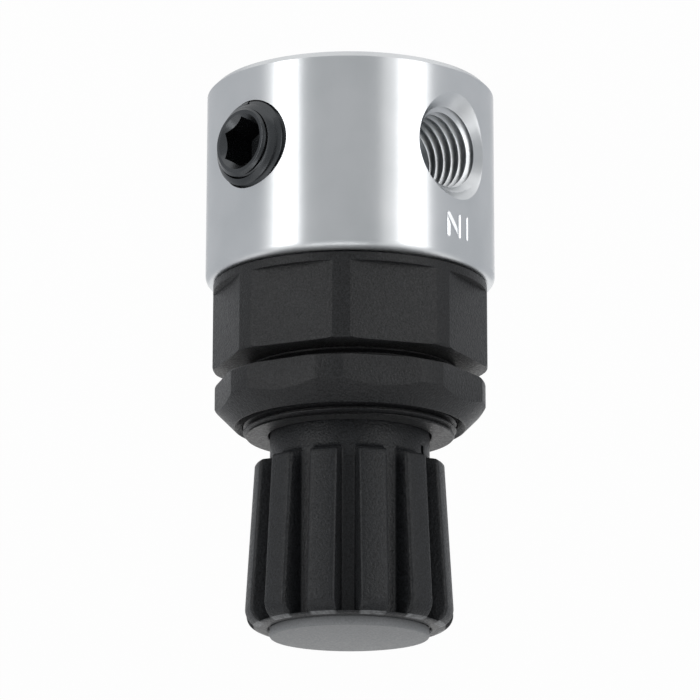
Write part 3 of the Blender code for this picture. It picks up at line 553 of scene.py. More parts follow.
@dataclass(frozen=True)
class Finish:
    """What every finish has: a name, two close shades and a roughness."""

    name: str
    dark: str
    pale: str
    roughness: float

    def shades(self) -> dict:
        """Settings of a ramp that runs from one shade to the other."""
        return {"stops": tuple(zip(NOISE_RANGE, (self.dark, self.pale)))}

    def around(self, less: float, more: float) -> tuple[float, ...]:
        """Ranges that spread a noise value round the roughness."""
        return (*NOISE_RANGE, self.roughness - less, self.roughness + more)


@dataclass(frozen=True)
class TurnedMetal(Finish):
    """Plated metal with the fine rings that a lathe leaves."""

    # A finishing cut leaves rings about 0.1 mm apart, here drawn coarser so that they show.
    ring_pitch: float = 0.22 * MM
    ring_depth: float = 0.0012 * MM
    grain: float = 0.0
    cloud: float = 9 * MM
    speck: float = 0.35 * MM

    def material(self) -> bpy.types.Material:
        """Build the material."""
        shader = Shader(self.name)
        place_on = shader.node("TexCoord").outputs["Object"]
        rings = shader.node("TexNoise", Vector=shader.turning(place_on),
                            Scale=1 / self.ring_pitch, Detail=4.0, Roughness=0.7)
        clouds = shader.node("TexNoise", Vector=place_on, Scale=1 / self.cloud, Detail=2.0)
        specks = shader.node("TexNoise", Vector=place_on, Scale=1 / self.speck, Detail=2.0)
        return shader.dress(
            Base_Color=shader.node("ValToRGB", clouds, settings=self.shades()), Metallic=1.0,
            Roughness=shader.node("MapRange", specks, *self.around(0.03, 0.03)),
            Anisotropic=self.grain, Anisotropic_Rotation=0.25,
            Normal=shader.node("Bump", Strength=0.5, Distance=self.ring_depth, Height=rings))


@dataclass(frozen=True)
class PaintedRibEndHighlight:
    """Painted highlight in pale grey on the ends of the ribs round a piece, where the rim's
    rounding turns to the top light.
    """

    height: float
    half_height: float
    half_share: float
    colour: str
    full_inside: float = 0.8
    ragged: float = 0.8 * MM

    def cover(self, shader: Shader, place_on: bpy.types.NodeSocket,
              colour: bpy.types.Node) -> bpy.types.NodeSocket:
        """Lay the painted highlight's colour over the piece's own, with ragged edges.

        Args:
            shader: The shader that is built.
            place_on: Place on the piece.
            colour: The node that gives the piece's own colour.

        Returns:
            The mixed colour.
        """
        apart = shader.node("SeparateXYZ", place_on).outputs
        angle = shader.node("Math.ARCTAN2", apart["Y"], apart["X"])
        ribs = shader.node("Math.DIVIDE", shader.node("Math.SUBTRACT", angle, RIB_TURN),
                           FULL_TURN / RIB_COUNT)
        share = shader.node("Math.FRACT", shader.node("Math.ADD", ribs, 0.5))
        aside = shader.node("Math.ABSOLUTE", shader.node("Math.SUBTRACT", share, 0.5))
        above = shader.node("Math.ABSOLUTE",
                            shader.node("Math.SUBTRACT", apart["Z"], self.height))
        on_rib, near = (shader.node("MapRange", value, limit, self.full_inside * limit)
                        for value, limit in ((aside, self.half_share), (above, self.half_height)))
        noise = shader.node("TexNoise", Vector=place_on, Scale=1 / self.ragged, Detail=3.0)
        ragged = shader.node("MapRange", noise, *NOISE_RANGE, 0.3, 1.0)
        # Painted highlight: a pale grey laid on the rib ends where the rim's rounding would catch
        # the top light.
        painted_highlight = shader.node("Math.MULTIPLY", shader.node("Math.MULTIPLY", on_rib, near), ragged)
        mixed = shader.node("Mix", painted_highlight, settings={"data_type": "RGBA"})
        own, highlight_colour = (socket for socket in mixed.inputs if socket.type == "RGBA")
        shader.feed(own, colour)
        shader.feed(highlight_colour, srgb(self.colour))
        return next(socket for socket in mixed.outputs if socket.type == "RGBA")


@dataclass(frozen=True)
class GrainedPlastic(Finish):
    """Moulded plastic with a fine matte grain."""

    # A mould's matte grain is about 0.1 mm wide, here drawn coarser so that it shows.
    grain: float = 0.34 * MM
    grain_depth: float = 0.11 * MM
    shine: float = 0.3
    bloom: float = 0.05
    # Painted highlight on the rib ends, if any, laid into the colour.
    painted_highlight: PaintedRibEndHighlight | None = None

    def material(self) -> bpy.types.Material:
        """Build the material."""
        shader = Shader(self.name)
        place_on = shader.node("TexCoord").outputs["Object"]
        grains = shader.node("TexNoise", Vector=place_on, Scale=1 / self.grain, Detail=3.0,
                             Roughness=0.6)
        finest = shader.node("TexNoise", Vector=place_on, Scale=1 / (0.6 * self.grain), Detail=2.0)
        coarse = shader.node("Bump", Strength=1.0, Distance=self.grain_depth, Height=grains)
        fine = shader.node("Bump", Strength=0.4, Distance=0.4 * self.grain_depth, Height=finest,
                           Normal=coarse)
        colour = shader.node("ValToRGB", finest, settings=self.shades())
        # A pale grey painted highlight on the rib ends goes into the colour here.
        if self.painted_highlight is not None:
            colour = self.painted_highlight.cover(shader, place_on, colour)
        return shader.dress(Base_Color=colour, Metallic=0.0, Specular_IOR_Level=self.shine,
                            Sheen_Weight=self.bloom, Sheen_Roughness=0.35,
                            Roughness=shader.node("MapRange", grains, *self.around(0.12, 0.12)),
                            Normal=fine)


@dataclass(frozen=True)
class PlainMetal(Finish):
    """Drawn, pressed or plated metal of a small inner piece."""

    cloud: float = 2 * MM
    # Drawing and pressing leave scratches under 0.05 mm apart, here drawn coarser.
    scratch: float = 0.15 * MM
    scratch_depth: float = 0.002 * MM

    def material(self) -> bpy.types.Material:
        """Build the material."""
        shader = Shader(self.name)
        place_on = shader.node("TexCoord").outputs["Object"]
        clouds = shader.node("TexNoise", Vector=place_on, Scale=1 / self.cloud, Detail=3.0)
        scratches = shader.node("TexNoise", Vector=shader.turning(place_on),
                                Scale=1 / self.scratch, Detail=3.0, Roughness=0.7)
        return shader.dress(
            Base_Color=shader.node("ValToRGB", clouds, settings=self.shades()), Metallic=1.0,
            Roughness=shader.node("MapRange", clouds, *self.around(0.05, 0.07)),
            Normal=shader.node("Bump", Strength=0.5, Distance=self.scratch_depth,
                               Height=scratches))


@dataclass(frozen=True)
class SoftRubber(Finish):
    """Matte rubber with a faint bloom."""

    cloud: float = 1.5 * MM
    # The mould's texture is under 0.1 mm wide, here drawn coarser.
    texture: float = 0.2 * MM
    texture_depth: float = 0.01 * MM

    def material(self) -> bpy.types.Material:
        """Build the material."""
        shader = Shader(self.name)
        place_on = shader.node("TexCoord").outputs["Object"]
        bloom = shader.node("TexNoise", Vector=place_on, Scale=1 / self.cloud, Detail=4.0)
        grains = shader.node("TexNoise", Vector=place_on, Scale=1 / self.texture, Detail=2.0)
        return shader.dress(
            Base_Color=shader.node("ValToRGB", bloom, settings=self.shades()), Metallic=0.0,
            Roughness=shader.node("MapRange", bloom, *self.around(0.06, 0.06)),
            Normal=shader.node("Bump", Strength=0.5, Distance=self.texture_depth, Height=grains))


class Finishes:
    """The finish of each material slot, made once."""

    CHOICES = {
        # Turned brass under bright nickel plate: pale silver, with light drawn out up the wall.
        "nickel_plated_body": TurnedMetal("nickel_plate", "d0d3d5", "dadcde", 0.33, grain=0.85),
        # Turned steel in black oxide: dark metal whose ridges catch grey gleams.
        "black_plug": TurnedMetal("black_oxide_steel", "414345", "5a5c5e", 0.27, 0.3 * MM,
                                  0.004 * MM),
        # Free-cutting brass, turned and left bare: warm yellow with faint rings.
        "inner_brass": TurnedMetal("turned_brass", "c9a154", "dab468", 0.28),
        # Drawn spring wire: mid grey with a clear gleam along the coil.
        "spring_steel": PlainMetal("spring_wire", "8f9092", "a7a8aa", 0.30),
        # Pressed and cut steel, zinc plated: light, slightly blue grey with soft clouds.
        "zinc_steel": PlainMetal("zinc_plate", "b3b5ba", "c8cacf", 0.34),
        # Filled nylon from a blasted mould: black that a fine grain breaks up into dark grey.
        "bonnet_plastic": GrainedPlastic("bonnet_black", "030303", "27282a", 0.40),
        "panel_nut_plastic": GrainedPlastic("panel_nut_black", "030303", "27282a", 0.40),
        # The same nylon, with a pale grey highlight painted on the rib ends.
        "knob_plastic": GrainedPlastic("knob_black", "030303", "25272a", 0.40,
                                       painted_highlight=PaintedRibEndHighlight(77.62 * MM, 0.2 * MM, 0.28, "77797b")),
        # ABS from a smooth mould: even mid grey with a broad, dull sheen.
        "cap_plastic": GrainedPlastic("cap_grey", "727476", "808284", 0.5, 0.35 * MM,
                                      0.006 * MM),
        # Moulded acetal: milky white and slightly waxy.
        "white_acetal": GrainedPlastic("white_acetal", "dcdcd6", "e6e6e0", 0.4, 0.4 * MM,
                                       0.004 * MM),
        # Nitrile rubber: dull black that gives back next to no light.
        "black_rubber": SoftRubber("black_rubber", "161616", "1f1f1e", 0.78),
    }

    def __init__(self) -> None:
        """Build every material."""
        self.made = {slot: finish.material() for slot, finish in self.CHOICES.items()}

    def put_on(self, piece: bpy.types.Object, slot: str) -> None:
        """Dress a new piece in a slot's material."""
        piece.data.materials.clear()
        piece.data.materials.append(self.made[slot])

    def put_on_packed(self, node: bpy.types.Object, slot: str) -> None:
        """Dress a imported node, whose mesh stays as it is, in a slot's material."""
        for place_for in node.material_slots:
            place_for.material = self.made[slot]


class Assembly:
    """Common ground of the sub-assemblies: finishes, shared trees and how a piece is handed in."""

    CREST_SHARE = 0.14
    BASE_SHARE = 0.97
    SINK_SHARE = 0.12

    def __init__(self, finishes: Finishes, ring: RingOfPieces, ridges: dict) -> None:
        """Keep what every sub-assembly uses.

        Args:
            finishes: Materials by slot.
            ring: Tree that repeats a piece round the axis.
            ridges: Helix tree of each section.
        """
        self.finishes = finishes
        self.ring = ring
        self.ridges = ridges

    def thread(self, name: str, section: Section, root_r: float, end_r: float, start: float,
               length: float, pitch: float, height: float) -> bpy.types.Object:
        """Sweep the ridge of a right-hand thread whose roots lie on a cone.

        Args:
            name: Name of the ridge.
            section: Outward or inward ridge.
            root_r: Radius of the roots at the start.
            end_r: Radius of the roots at the end.
            start: Height at which the ridge starts.
            length: Length along the axis.
            pitch: Height of one turn.
            height: How far the crest stands from the roots.

        Returns:
            A closed ridge whose base is sunk a little under the roots.
        """
        sink = self.SINK_SHARE * height
        shift = (height - sink) / 2
        sign = 1.0 if section is Section.OUTWARD_RIDGE else -1.0
        turns = length / pitch
        return self.ridges[section].make(
            name, Turns=turns, Flat_Turns=0.0, Start_Radius=root_r + sign * shift,
            End_Radius=end_r + sign * shift, Base=start, Rise=length,
            Points=int(turns * THREAD_STEPS) + 1, Ridge_Height=height + sink,
            Crest_Width=self.CREST_SHARE * pitch, Base_Width=self.BASE_SHARE * pitch)

    def hand_in(self, piece: bpy.types.Object, body: str, slot: str, *nodes: str) -> None:
        """Smooth, dress and hand in a finished piece.

        Args:
            piece: The piece, at the origin.
            body: Body that it rides on.
            slot: Material slot of its finish.
            nodes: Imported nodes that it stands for.
        """
        piece.data.shade_smooth()
        piece.data.set_sharp_from_angle(angle=SMOOTH_UP_TO)
        self.finishes.put_on(piece, slot)
        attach(piece, body)
        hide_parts(*nodes)
        log.info("%s: %d faces, rides %s", piece.name, len(piece.data.polygons), body)


@dataclass
class BodySizes:
    """Sizes of the plated body."""

    radius: float = 20.5 * MM
    height: float = 28.4 * MM
    foot_chamfer: float = 0.9 * MM
    foot_fillet: float = 0.25 * MM
    foot_edge: float = 0.15 * MM
    fillet_steps: int = 6
    lip_fillet: float = 1.1 * MM
    edge: float = 0.12 * MM
    thread_r: float = 17.4 * MM
    thread_chamfer: float = 0.5 * MM
    ledge_z: float = 24.0 * MM
    chamber_r: float = 14.0 * MM
    chamber_z: float = 21.6 * MM
    seat_bore_r: float = 6.6 * MM
    seat_ledge_z: float = 16.0 * MM
    inlet_r: float = 5.2 * MM
    floor: float = 4.6 * MM
    port_z: float = 12.0 * MM
    port_root_r: float = 6.35 * MM
    port_crest: float = 0.95 * MM
    mouth_flat_r: float = 6.6 * MM
    mouth_depth: float = 1.1 * MM
    mouth_gap: float = 0.01 * MM
    mouth_angle: float = math.radians(35)
    mouth_from_axis: float = 17.0 * MM
    mouths_low_z: float = 2.0 * MM
    mouths_high_z: float = 22.0 * MM
    port_bottom_r: float = 8.0 * MM
    thread_depth: float = 8.3 * MM
    runout: float = 0.5 * MM
    pitch: float = 1.411 * MM
    thread_turn: float = math.radians(121)
    gauge_bore_r: float = 6.3 * MM
    riser_r: float = 1.8 * MM
    gauge_riser_r: float = 1.3 * MM
    riser_from_axis: float = 10.3 * MM
    riser_facets: int = 32
    inlet_drill_r: float = 2.0 * MM
    mark_z: float = 23.6 * MM
    mark_height: float = 3.7 * MM
    mark_stroke: float = 0.72 * MM
    mark_depth: float = 0.105 * MM
    mark_taper: float = 8.0
    mark_steps: int = 16
    first_letter_y: float = 2.0 * MM
    second_letter_y: tuple = (0.3 * MM, -1.95 * MM)
    wall_slack: float = 0.004 * MM
    facets: int = 240


class Body(Assembly):
    """Plated body with its threaded ports, plain gauge bores and the inlet mark."""

    sizes = BodySizes()

    # Shares of the radius and of the mark's height that enclose the inlet mark.
    MARK_SIDE = 0.9
    MARK_REACH = 0.6

    def blank(self) -> bpy.types.Object:
        """Turn the outside and the stepped middle bore."""
        s = self.sizes
        outline = rounded([
            (0.0, s.floor, 0.0), (s.inlet_r, s.floor, 0.0), (s.inlet_r, s.seat_ledge_z, 0.0),
            (s.seat_bore_r, s.seat_ledge_z, 0.0), (s.seat_bore_r, s.chamber_z, 0.0),
            (s.chamber_r, s.chamber_z, 0.0), (s.chamber_r, s.ledge_z, 0.0),
            (s.thread_r, s.ledge_z, 0.0), (s.thread_r, s.height - s.thread_chamfer, 0.0),
            (s.thread_r + s.thread_chamfer, s.height, 0.0),
            (s.radius, s.height, s.lip_fillet), (s.radius, s.foot_chamfer, s.foot_fillet),
            (s.radius - s.foot_chamfer, 0.0, s.foot_edge), (0.0, 0.0, 0.0),
        ], s.fillet_steps)
        return lathe("plated_body", outline, s.facets)

    def port_tool(self, facing: Facing, drilled: bool) -> bpy.types.Object:
        """Cutter for a threaded port: countersink, thread's roots, tapping bore and drilling."""
        s = self.sizes
        face = s.radius - s.mouth_depth
        outside = s.radius + CLEAR
        thread_end = face - s.thread_depth
        root_end = s.port_root_r - s.thread_depth * TAPER
        tapping_r = root_end - s.port_crest
        outline = [(0.0, outside), (s.mouth_flat_r + outside - face, outside),
                   (s.mouth_flat_r, face),
                   (s.port_root_r, face - (s.mouth_flat_r - s.port_root_r)),
                   (root_end, thread_end), (tapping_r, thread_end - s.runout),
                   (tapping_r, s.port_bottom_r)]
        if drilled:
            outline += [(s.inlet_drill_r, s.port_bottom_r), (s.inlet_drill_r, 0.0), (0.0, 0.0)]
        else:
            outline.append((0.0, s.port_bottom_r))
        return place(lathe("port_tool", outline, BORE_FACETS), outward(facing, s.port_z))

    def gauge_tool(self, facing: Facing) -> bpy.types.Object:
        """Cutter for the bore that a gauge plug fills."""
        s = self.sizes
        bore = rod("gauge_tool", s.gauge_bore_r, s.port_bottom_r, s.radius + CLEAR, BORE_FACETS)
        return place(bore, outward(facing, s.port_z))

    def riser_tool(self, facing: Facing, radius: float) -> bpy.types.Object:
        """Cutter for the drilling from a port up to the outlet chamber."""
        s = self.sizes
        shift = Vector((math.cos(facing.value), math.sin(facing.value), 0.0)) * s.riser_from_axis
        riser = rod("riser_tool", radius, s.port_z, s.chamber_z + OVER, s.riser_facets)
        return place(riser, Matrix.Translation(shift))

    def port_ridge(self, facing: Facing) -> bpy.types.Object:
        """Ridge of the taper pipe thread in a port."""
        s = self.sizes
        face = s.radius - s.mouth_depth
        bottom = face - s.thread_depth
        bottom_root = s.port_root_r - s.thread_depth * TAPER
        length = s.thread_depth + s.pitch
        ridge = self.thread("port_ridge", Section.INWARD_RIDGE, bottom_root,
                            bottom_root + length * TAPER, bottom, length, s.pitch, s.port_crest)
        place(ridge, Matrix.Rotation(s.thread_turn, 4, "Z"))
        mouth_r = s.mouth_flat_r - s.mouth_gap
        reach = 2 * s.pitch
        mouth = [(0.0, face + reach), (mouth_r + reach, face + reach), (mouth_r, face),
                 (0.0, face - mouth_r)]
        carve(ridge, lathe("mouth", mouth, BORE_FACETS))
        return place(ridge, outward(facing, s.port_z))

    def stroke(self, start: Sequence[float], end: Sequence[float]) -> bpy.types.Object:
        """V-shaped cutter for one stroke of the inlet mark.

        Args:
            start: Place along Y, and height, of one end.
            end: The same of the other.

        Returns:
            A solid that reaches into the wall from outside its inlet side.
        """
        s = self.sizes
        shape = bmesh.new()
        for y, z in (start, end):
            surface = -math.sqrt(s.radius ** 2 - y ** 2)
            for depth, half_w in ((-s.mark_depth, s.mark_stroke),
                                  (s.mark_depth, s.mark_stroke / s.mark_taper)):
                for i in range(s.mark_steps):
                    angle = FULL_TURN * i / s.mark_steps
                    shape.verts.new((surface + depth, y + half_w * math.cos(angle),
                                     z + half_w * math.sin(angle)))
        bmesh.ops.convex_hull(shape, input=shape.verts)
        return to_object(shape, "stroke")

    def inlet_mark(self) -> bpy.types.Object:
        """Cutter for the two letters that mark the inlet, following the curved wall."""
        s = self.sizes
        half = s.mark_height / 2 - s.mark_stroke / 2
        top, bottom = s.mark_z + half, s.mark_z - half
        left, right = s.second_letter_y
        lines = [((s.first_letter_y, bottom), (s.first_letter_y, top)),
                 ((left, bottom), (left, top)),
                 ((left, top), (right, bottom)), ((right, bottom), (right, top))]
        mark = self.stroke(*lines[0])
        for line in lines[1:]:
            carve(mark, self.stroke(*line), Operation.JOIN)
        return mark

    def true_walls(self, piece: bpy.types.Object) -> None:
        """Give the outer wall the normals of a true cylinder, and the mark's strokes flat sides."""
        s = self.sizes
        mesh = piece.data
        normals = [Vector(item.vector) for item in mesh.corner_normals]
        for polygon in mesh.polygons:
            corners = [mesh.vertices[i].co for i in polygon.vertices]
            middle = polygon.center
            if all(abs(from_axis(c) - s.radius) < s.wall_slack for c in corners):
                for loop, corner in zip(polygon.loop_indices, corners):
                    normals[loop] = Vector((corner.x, corner.y, 0.0)).normalized()
            elif (middle.x < -self.MARK_SIDE * s.radius and abs(middle.y) < s.mark_height
                  and abs(middle.z - s.mark_z) < self.MARK_REACH * s.mark_height):
                for loop in polygon.loop_indices:
                    normals[loop] = polygon.normal.copy()
        mesh.normals_split_custom_set([tuple(n) for n in normals])

    def build(self) -> None:
        """Make the body and hand it in."""
        s = self.sizes
        body = self.blank()
        carve(body, self.port_tool(Facing.INLET, True))
        carve(body, self.port_tool(Facing.OUTLET, False))
        carve(body, self.riser_tool(Facing.OUTLET, s.riser_r))
        for facing in (Facing.FRONT, Facing.REAR):
            carve(body, self.gauge_tool(facing))
            carve(body, self.riser_tool(facing, s.gauge_riser_r))
        soften(body, s.edge, lambda at, angle: angle > s.mouth_angle
               and from_axis(at) > s.mouth_from_axis and s.mouths_low_z < at.z < s.mouths_high_z)
        for facing in (Facing.INLET, Facing.OUTLET):
            carve(body, self.port_ridge(facing), Operation.JOIN)
        carve(body, self.inlet_mark())
        self.hand_in(body, "housing", "nickel_plated_body", "body")
        self.true_walls(body)


@dataclass
class PlugSizes:
    """Sizes of a gauge port's plug."""

    length: float = 9.4 * MM
    crest_r: float = 6.1 * MM
    crest: float = 0.6 * MM
    standout: float = 1.85 * MM
    chamfer: float = 1.65 * MM
    face_edge: float = 0.25 * MM
    fillet: float = 0.15 * MM
    fillet_steps: int = 3
    pitch: float = 1.04 * MM
    thread_start: float = 0.2 * MM
    run_on: float = 0.2
    cone_crest: float = 1.25
    socket_flat_r: float = 3.175 * MM
    socket_depth: float = 5.6 * MM
    socket_mouth: float = 0.3 * MM
    socket_tip: float = 0.8 * MM


class GaugePlug(Assembly):
    """Threaded plug with a hexagon socket, standing a little out of a gauge port."""

    sizes = PlugSizes()

    def build(self, name: str, node: str, facing: Facing) -> None:
        """Make one plug and hand it in."""
        s = self.sizes
        end_r = s.crest_r - s.length * TAPER
        root_end, root = end_r - s.crest, s.crest_r - s.crest
        face_r = s.crest_r - s.chamfer
        cone_z = s.length - s.chamfer
        core = rounded([(0.0, s.length, 0.0), (face_r, s.length, s.fillet),
                        (face_r + s.face_edge, s.length - s.face_edge, 0.0),
                        (face_r + s.face_edge, s.length - s.face_edge - s.crest, 0.0),
                        (root, cone_z, 0.0), (root_end, 0.0, 0.0), (0.0, 0.0, 0.0)], s.fillet_steps)
        plug = lathe(name, core, BORE_FACETS)
        ridge = self.thread("plug_ridge", Section.OUTWARD_RIDGE, root_end, root, s.thread_start,
                            cone_z - s.thread_start, s.pitch, s.crest)
        whole_turns = math.floor((cone_z - s.thread_start) / s.pitch - s.run_on)
        start = s.thread_start + whole_turns * s.pitch
        on_cone = self.thread("cone_ridge", Section.OUTWARD_RIDGE, root + cone_z - start,
                              root - s.chamfer, start, s.length - start, s.pitch,
                              s.cone_crest * s.crest)
        carve(ridge, on_cone, Operation.JOIN)
        envelope = rounded([(0.0, s.length, 0.0), (face_r, s.length, s.fillet),
                            (s.crest_r, s.length - s.chamfer, 0.0), (end_r, 0.0, 0.0),
                            (0.0, 0.0, 0.0)], s.fillet_steps)
        carve(ridge, lathe("envelope", envelope, BORE_FACETS), Operation.KEEP)
        carve(plug, ridge, Operation.JOIN)
        corner_r = s.socket_flat_r / math.cos(math.pi / 6)
        bottom = s.length - s.socket_depth
        socket = [(0.0, s.length + OVER), (corner_r, s.length + OVER), (corner_r, bottom),
                  (0.0, bottom - s.socket_tip)]
        carve(plug, lathe("socket", socket, 6))
        mouth_r = corner_r + s.socket_mouth
        mouth = [(0.0, s.length + OVER), (mouth_r + OVER, s.length + OVER),
                 (mouth_r - OVER, s.length - OVER), (0.0, s.length - OVER)]
        carve(plug, lathe("mouth", mouth, BORE_FACETS))
        inner_end = Body.sizes.radius + s.standout - s.length
        at = Matrix.Translation((0.0, 0.0, inner_end))
        place(plug, outward(facing, Body.sizes.port_z) @ at)
        self.hand_in(plug, "housing", "black_plug", node)


@dataclass
class BonnetSizes:
    """Sizes of the bonnet."""

    collar_r: float = 19.4 * MM
    collar_z: float = 28.7 * MM
    collar_fillet: float = 0.45 * MM
    collar_edge: float = 0.12 * MM
    flats_z: float = 29.9 * MM
    shoulder_z: float = 40.85 * MM
    flat_r: float = 18.35 * MM
    turn: float = math.radians(5.1)
    edge: float = 0.28 * MM
    edges_from_axis: float = 17.3 * MM
    edge_slack: float = 0.1 * MM
    neck_r: float = 15.0 * MM
    neck_end_z: float = 50.5 * MM
    neck_chamfer: float = 0.45 * MM
    neck_lead: float = 0.25 * MM
    neck_fillet: float = 0.2 * MM
    neck_rim_gap: float = 0.02 * MM
    thread_sunk: float = 0.2 * MM
    thread_extra: float = 0.6 * MM
    crest: float = 0.8 * MM
    counterbore_r: float = 11.4 * MM
    mouth_fillet: float = 0.3 * MM
    skirt_r: float = 17.2 * MM
    skirt_bore_r: float = 14.6 * MM
    skirt_z: float = 26.5 * MM
    skirt_fillet: float = 0.2 * MM
    bore_r: float = 13.0 * MM
    web_bottom_z: float = 43.9 * MM
    web_top_z: float = 47.4 * MM
    web_bore_r: float = 4.7 * MM
    pocket_r: float = 7.0 * MM
    pocket_depth: float = 1.5 * MM
    lock_inner_r: float = 7.9 * MM
    lock_floor_z: float = 45.2 * MM
    keys: int = 4
    key_foot: float = 1.6 * MM
    key_height: float = 0.9 * MM
    key_w: float = 2.4 * MM
    tooth_w: float = 2.6 * MM
    tooth_root: float = 0.2 * MM
    facets: int = 240


class Bonnet(Assembly):
    """Black bonnet: skirt, collar, eight flats and the threaded neck for the panel nut."""

    sizes = BonnetSizes()

    def blank(self) -> bpy.types.Object:
        """Turn the bonnet with its neck at the thread's roots."""
        s = self.sizes
        root_r = s.neck_r - s.crest
        pocket_top = s.web_bottom_z + s.pocket_depth
        outline = rounded([
            (s.counterbore_r, s.neck_end_z, s.mouth_fillet),
            (s.neck_r - s.neck_chamfer, s.neck_end_z, 0.0),
            (root_r, s.neck_end_z - s.neck_lead, 0.0), (root_r, s.shoulder_z, s.neck_fillet),
            (s.collar_r, s.shoulder_z, s.collar_fillet),
            (s.collar_r, s.collar_z, s.collar_edge), (s.skirt_r, s.collar_z, 0.0),
            (s.skirt_r, s.skirt_z, s.skirt_fillet), (s.skirt_bore_r, s.skirt_z, 0.0),
            (s.skirt_bore_r, s.flats_z, 0.0),
            (s.bore_r, s.flats_z + s.skirt_bore_r - s.bore_r, 0.0),
            (s.bore_r, s.web_bottom_z, 0.0), (s.pocket_r, s.web_bottom_z, 0.0),
            (s.pocket_r, pocket_top, 0.0), (s.web_bore_r, pocket_top, 0.0),
            (s.web_bore_r, s.web_top_z, 0.0), (s.lock_inner_r, s.web_top_z, 0.0),
            (s.lock_inner_r, s.lock_floor_z, 0.0), (s.counterbore_r, s.lock_floor_z, 0.0),
        ])
        return lathe("black_bonnet", outline, s.facets)

    def build(self) -> None:
        """Make the bonnet and hand it in."""
        s = self.sizes
        bonnet = self.blank()
        carve(bonnet, eight_flats(s.flat_r, s.collar_r + 2 * CLEAR, s.flats_z,
                                  s.shoulder_z + CLEAR, s.turn))
        soften(bonnet, s.edge, lambda at, angle: angle > SHARP_FROM
               and from_axis(at) > s.edges_from_axis and at.z > s.flats_z - s.edge_slack)
        ridge = self.thread("neck_ridge", Section.OUTWARD_RIDGE, s.neck_r - s.crest,
                            s.neck_r - s.crest, s.shoulder_z - s.thread_sunk,
                            s.neck_end_z - s.shoulder_z + s.thread_extra, NECK_PITCH, s.crest)
        top = s.neck_end_z - s.neck_rim_gap
        envelope = [(s.counterbore_r, top), (s.neck_r - s.neck_chamfer, top),
                    (s.neck_r, top - s.neck_chamfer), (s.neck_r, s.shoulder_z - OVER),
                    (s.counterbore_r, s.shoulder_z - OVER)]
        carve(ridge, lathe("envelope", envelope, s.facets), Operation.KEEP)
        carve(bonnet, ridge, Operation.JOIN)
        key = block("key", (s.bore_r - s.key_height, -s.key_w / 2, s.flats_z + s.key_foot),
                    (s.bore_r + s.key_height, s.key_w / 2, s.web_bottom_z + s.key_height))
        carve(bonnet, self.ring.repeat("keys", key, s.keys, 0.0), Operation.JOIN)
        tooth = block("tooth", (s.lock_inner_r - s.tooth_root, -s.tooth_w / 2,
                                s.lock_floor_z - s.tooth_root),
                      (s.counterbore_r + s.tooth_root, s.tooth_w / 2, s.web_top_z))
        teeth = self.ring.repeat("teeth", tooth, RIB_COUNT, RIB_TURN)
        carve(bonnet, teeth, Operation.JOIN)
        self.hand_in(bonnet, "housing", "bonnet_plastic", "bonnet")


@dataclass
class PanelNutSizes:
    """Sizes of the panel nut."""

    bottom_z: float = 42.97 * MM
    height: float = 6.2 * MM
    bore_r: float = 15.2 * MM
    flat_r: float = 18.3 * MM
    corner_r: float = 19.1 * MM
    face_r: float = 16.3 * MM
    mouth_fillet: float = 0.15 * MM
    face_fillet: float = 0.2 * MM
    cone_fillet: float = 0.3 * MM
    foot_fillet: float = 0.35 * MM
    sink: float = 1.0 * MM
    turn: float = math.radians(10.2)
    edge: float = 0.28 * MM
    edges_from_axis: float = 17.2 * MM
    crest: float = 0.12 * MM
    thread_start: float = 0.2 * MM
    thread_short: float = 0.6 * MM
    facets: int = 240


class PanelNut(Assembly):
    """Octagonal nut with a turned cone on its outer end."""

    sizes = PanelNutSizes()

    def build(self) -> None:
        """Make the nut and hand it in."""
        s = self.sizes
        top = s.bottom_z + s.height
        outline = rounded([
            (s.bore_r, top - s.sink, 0.0), (s.bore_r + s.sink, top, s.mouth_fillet),
            (s.face_r, top, s.face_fillet),
            (s.corner_r, top - (s.corner_r - s.face_r), s.cone_fillet),
            (s.corner_r, s.bottom_z, s.foot_fillet), (s.bore_r + s.sink, s.bottom_z, 0.0),
            (s.bore_r, s.bottom_z + s.sink, 0.0),
        ])
        nut = lathe("octagon_nut", outline, s.facets)
        carve(nut, eight_flats(s.flat_r, s.corner_r + 2 * CLEAR, s.bottom_z - OVER, top + OVER,
                               s.turn))
        soften(nut, s.edge, lambda at, angle: angle > SHARP_FROM
               and from_axis(at) > s.edges_from_axis)
        ridge = self.thread("nut_ridge", Section.INWARD_RIDGE, s.bore_r, s.bore_r,
                            s.bottom_z + s.thread_start, s.height - s.thread_short, NECK_PITCH,
                            s.crest)
        carve(nut, ridge, Operation.JOIN)
        self.hand_in(nut, "panel_nut", "panel_nut_plastic", "panel_nut")


@dataclass
class KnobSizes:
    """Sizes of the knob."""

    bottom_z: float = 47.7 * MM
    rib_z: float = 54.6 * MM
    top_z: float = 77.85 * MM
    neck_r: float = 11.2 * MM
    neck_chamfer: float = 0.3 * MM
    rib_w: float = 4.0 * MM
    foot_r: float = 13.4 * MM
    head_r: float = 14.6 * MM
    floor_r: float = 11.3 * MM
    groove_stop: float = 0.45 * MM
    rim_fillet: float = 2.5 * MM
    foot_round: float = 0.6 * MM
    under_step: float = 0.1 * MM
    under_fillet: float = 1.0 * MM
    rib_edge: float = 0.5 * MM
    rib_root: float = 0.35 * MM
    recess_r: float = 11.3 * MM
    recess: float = 0.45 * MM
    recess_chamfer: float = 0.2 * MM
    bore_r: float = 8.1 * MM
    bore_h: float = 9.0 * MM
    socket_r: float = 4.62 * MM
    socket_top_z: float = 65.9 * MM
    pocket_r: float = 7.02 * MM
    gap_w: float = 3.1 * MM
    gap_h: float = 2.1 * MM
    windows: int = 2
    window_drop: float = 0.3 * MM
    window_w: float = 0.85 * MM
    window_h: float = 1.6 * MM
    window_turn: float = math.radians(-17.5)


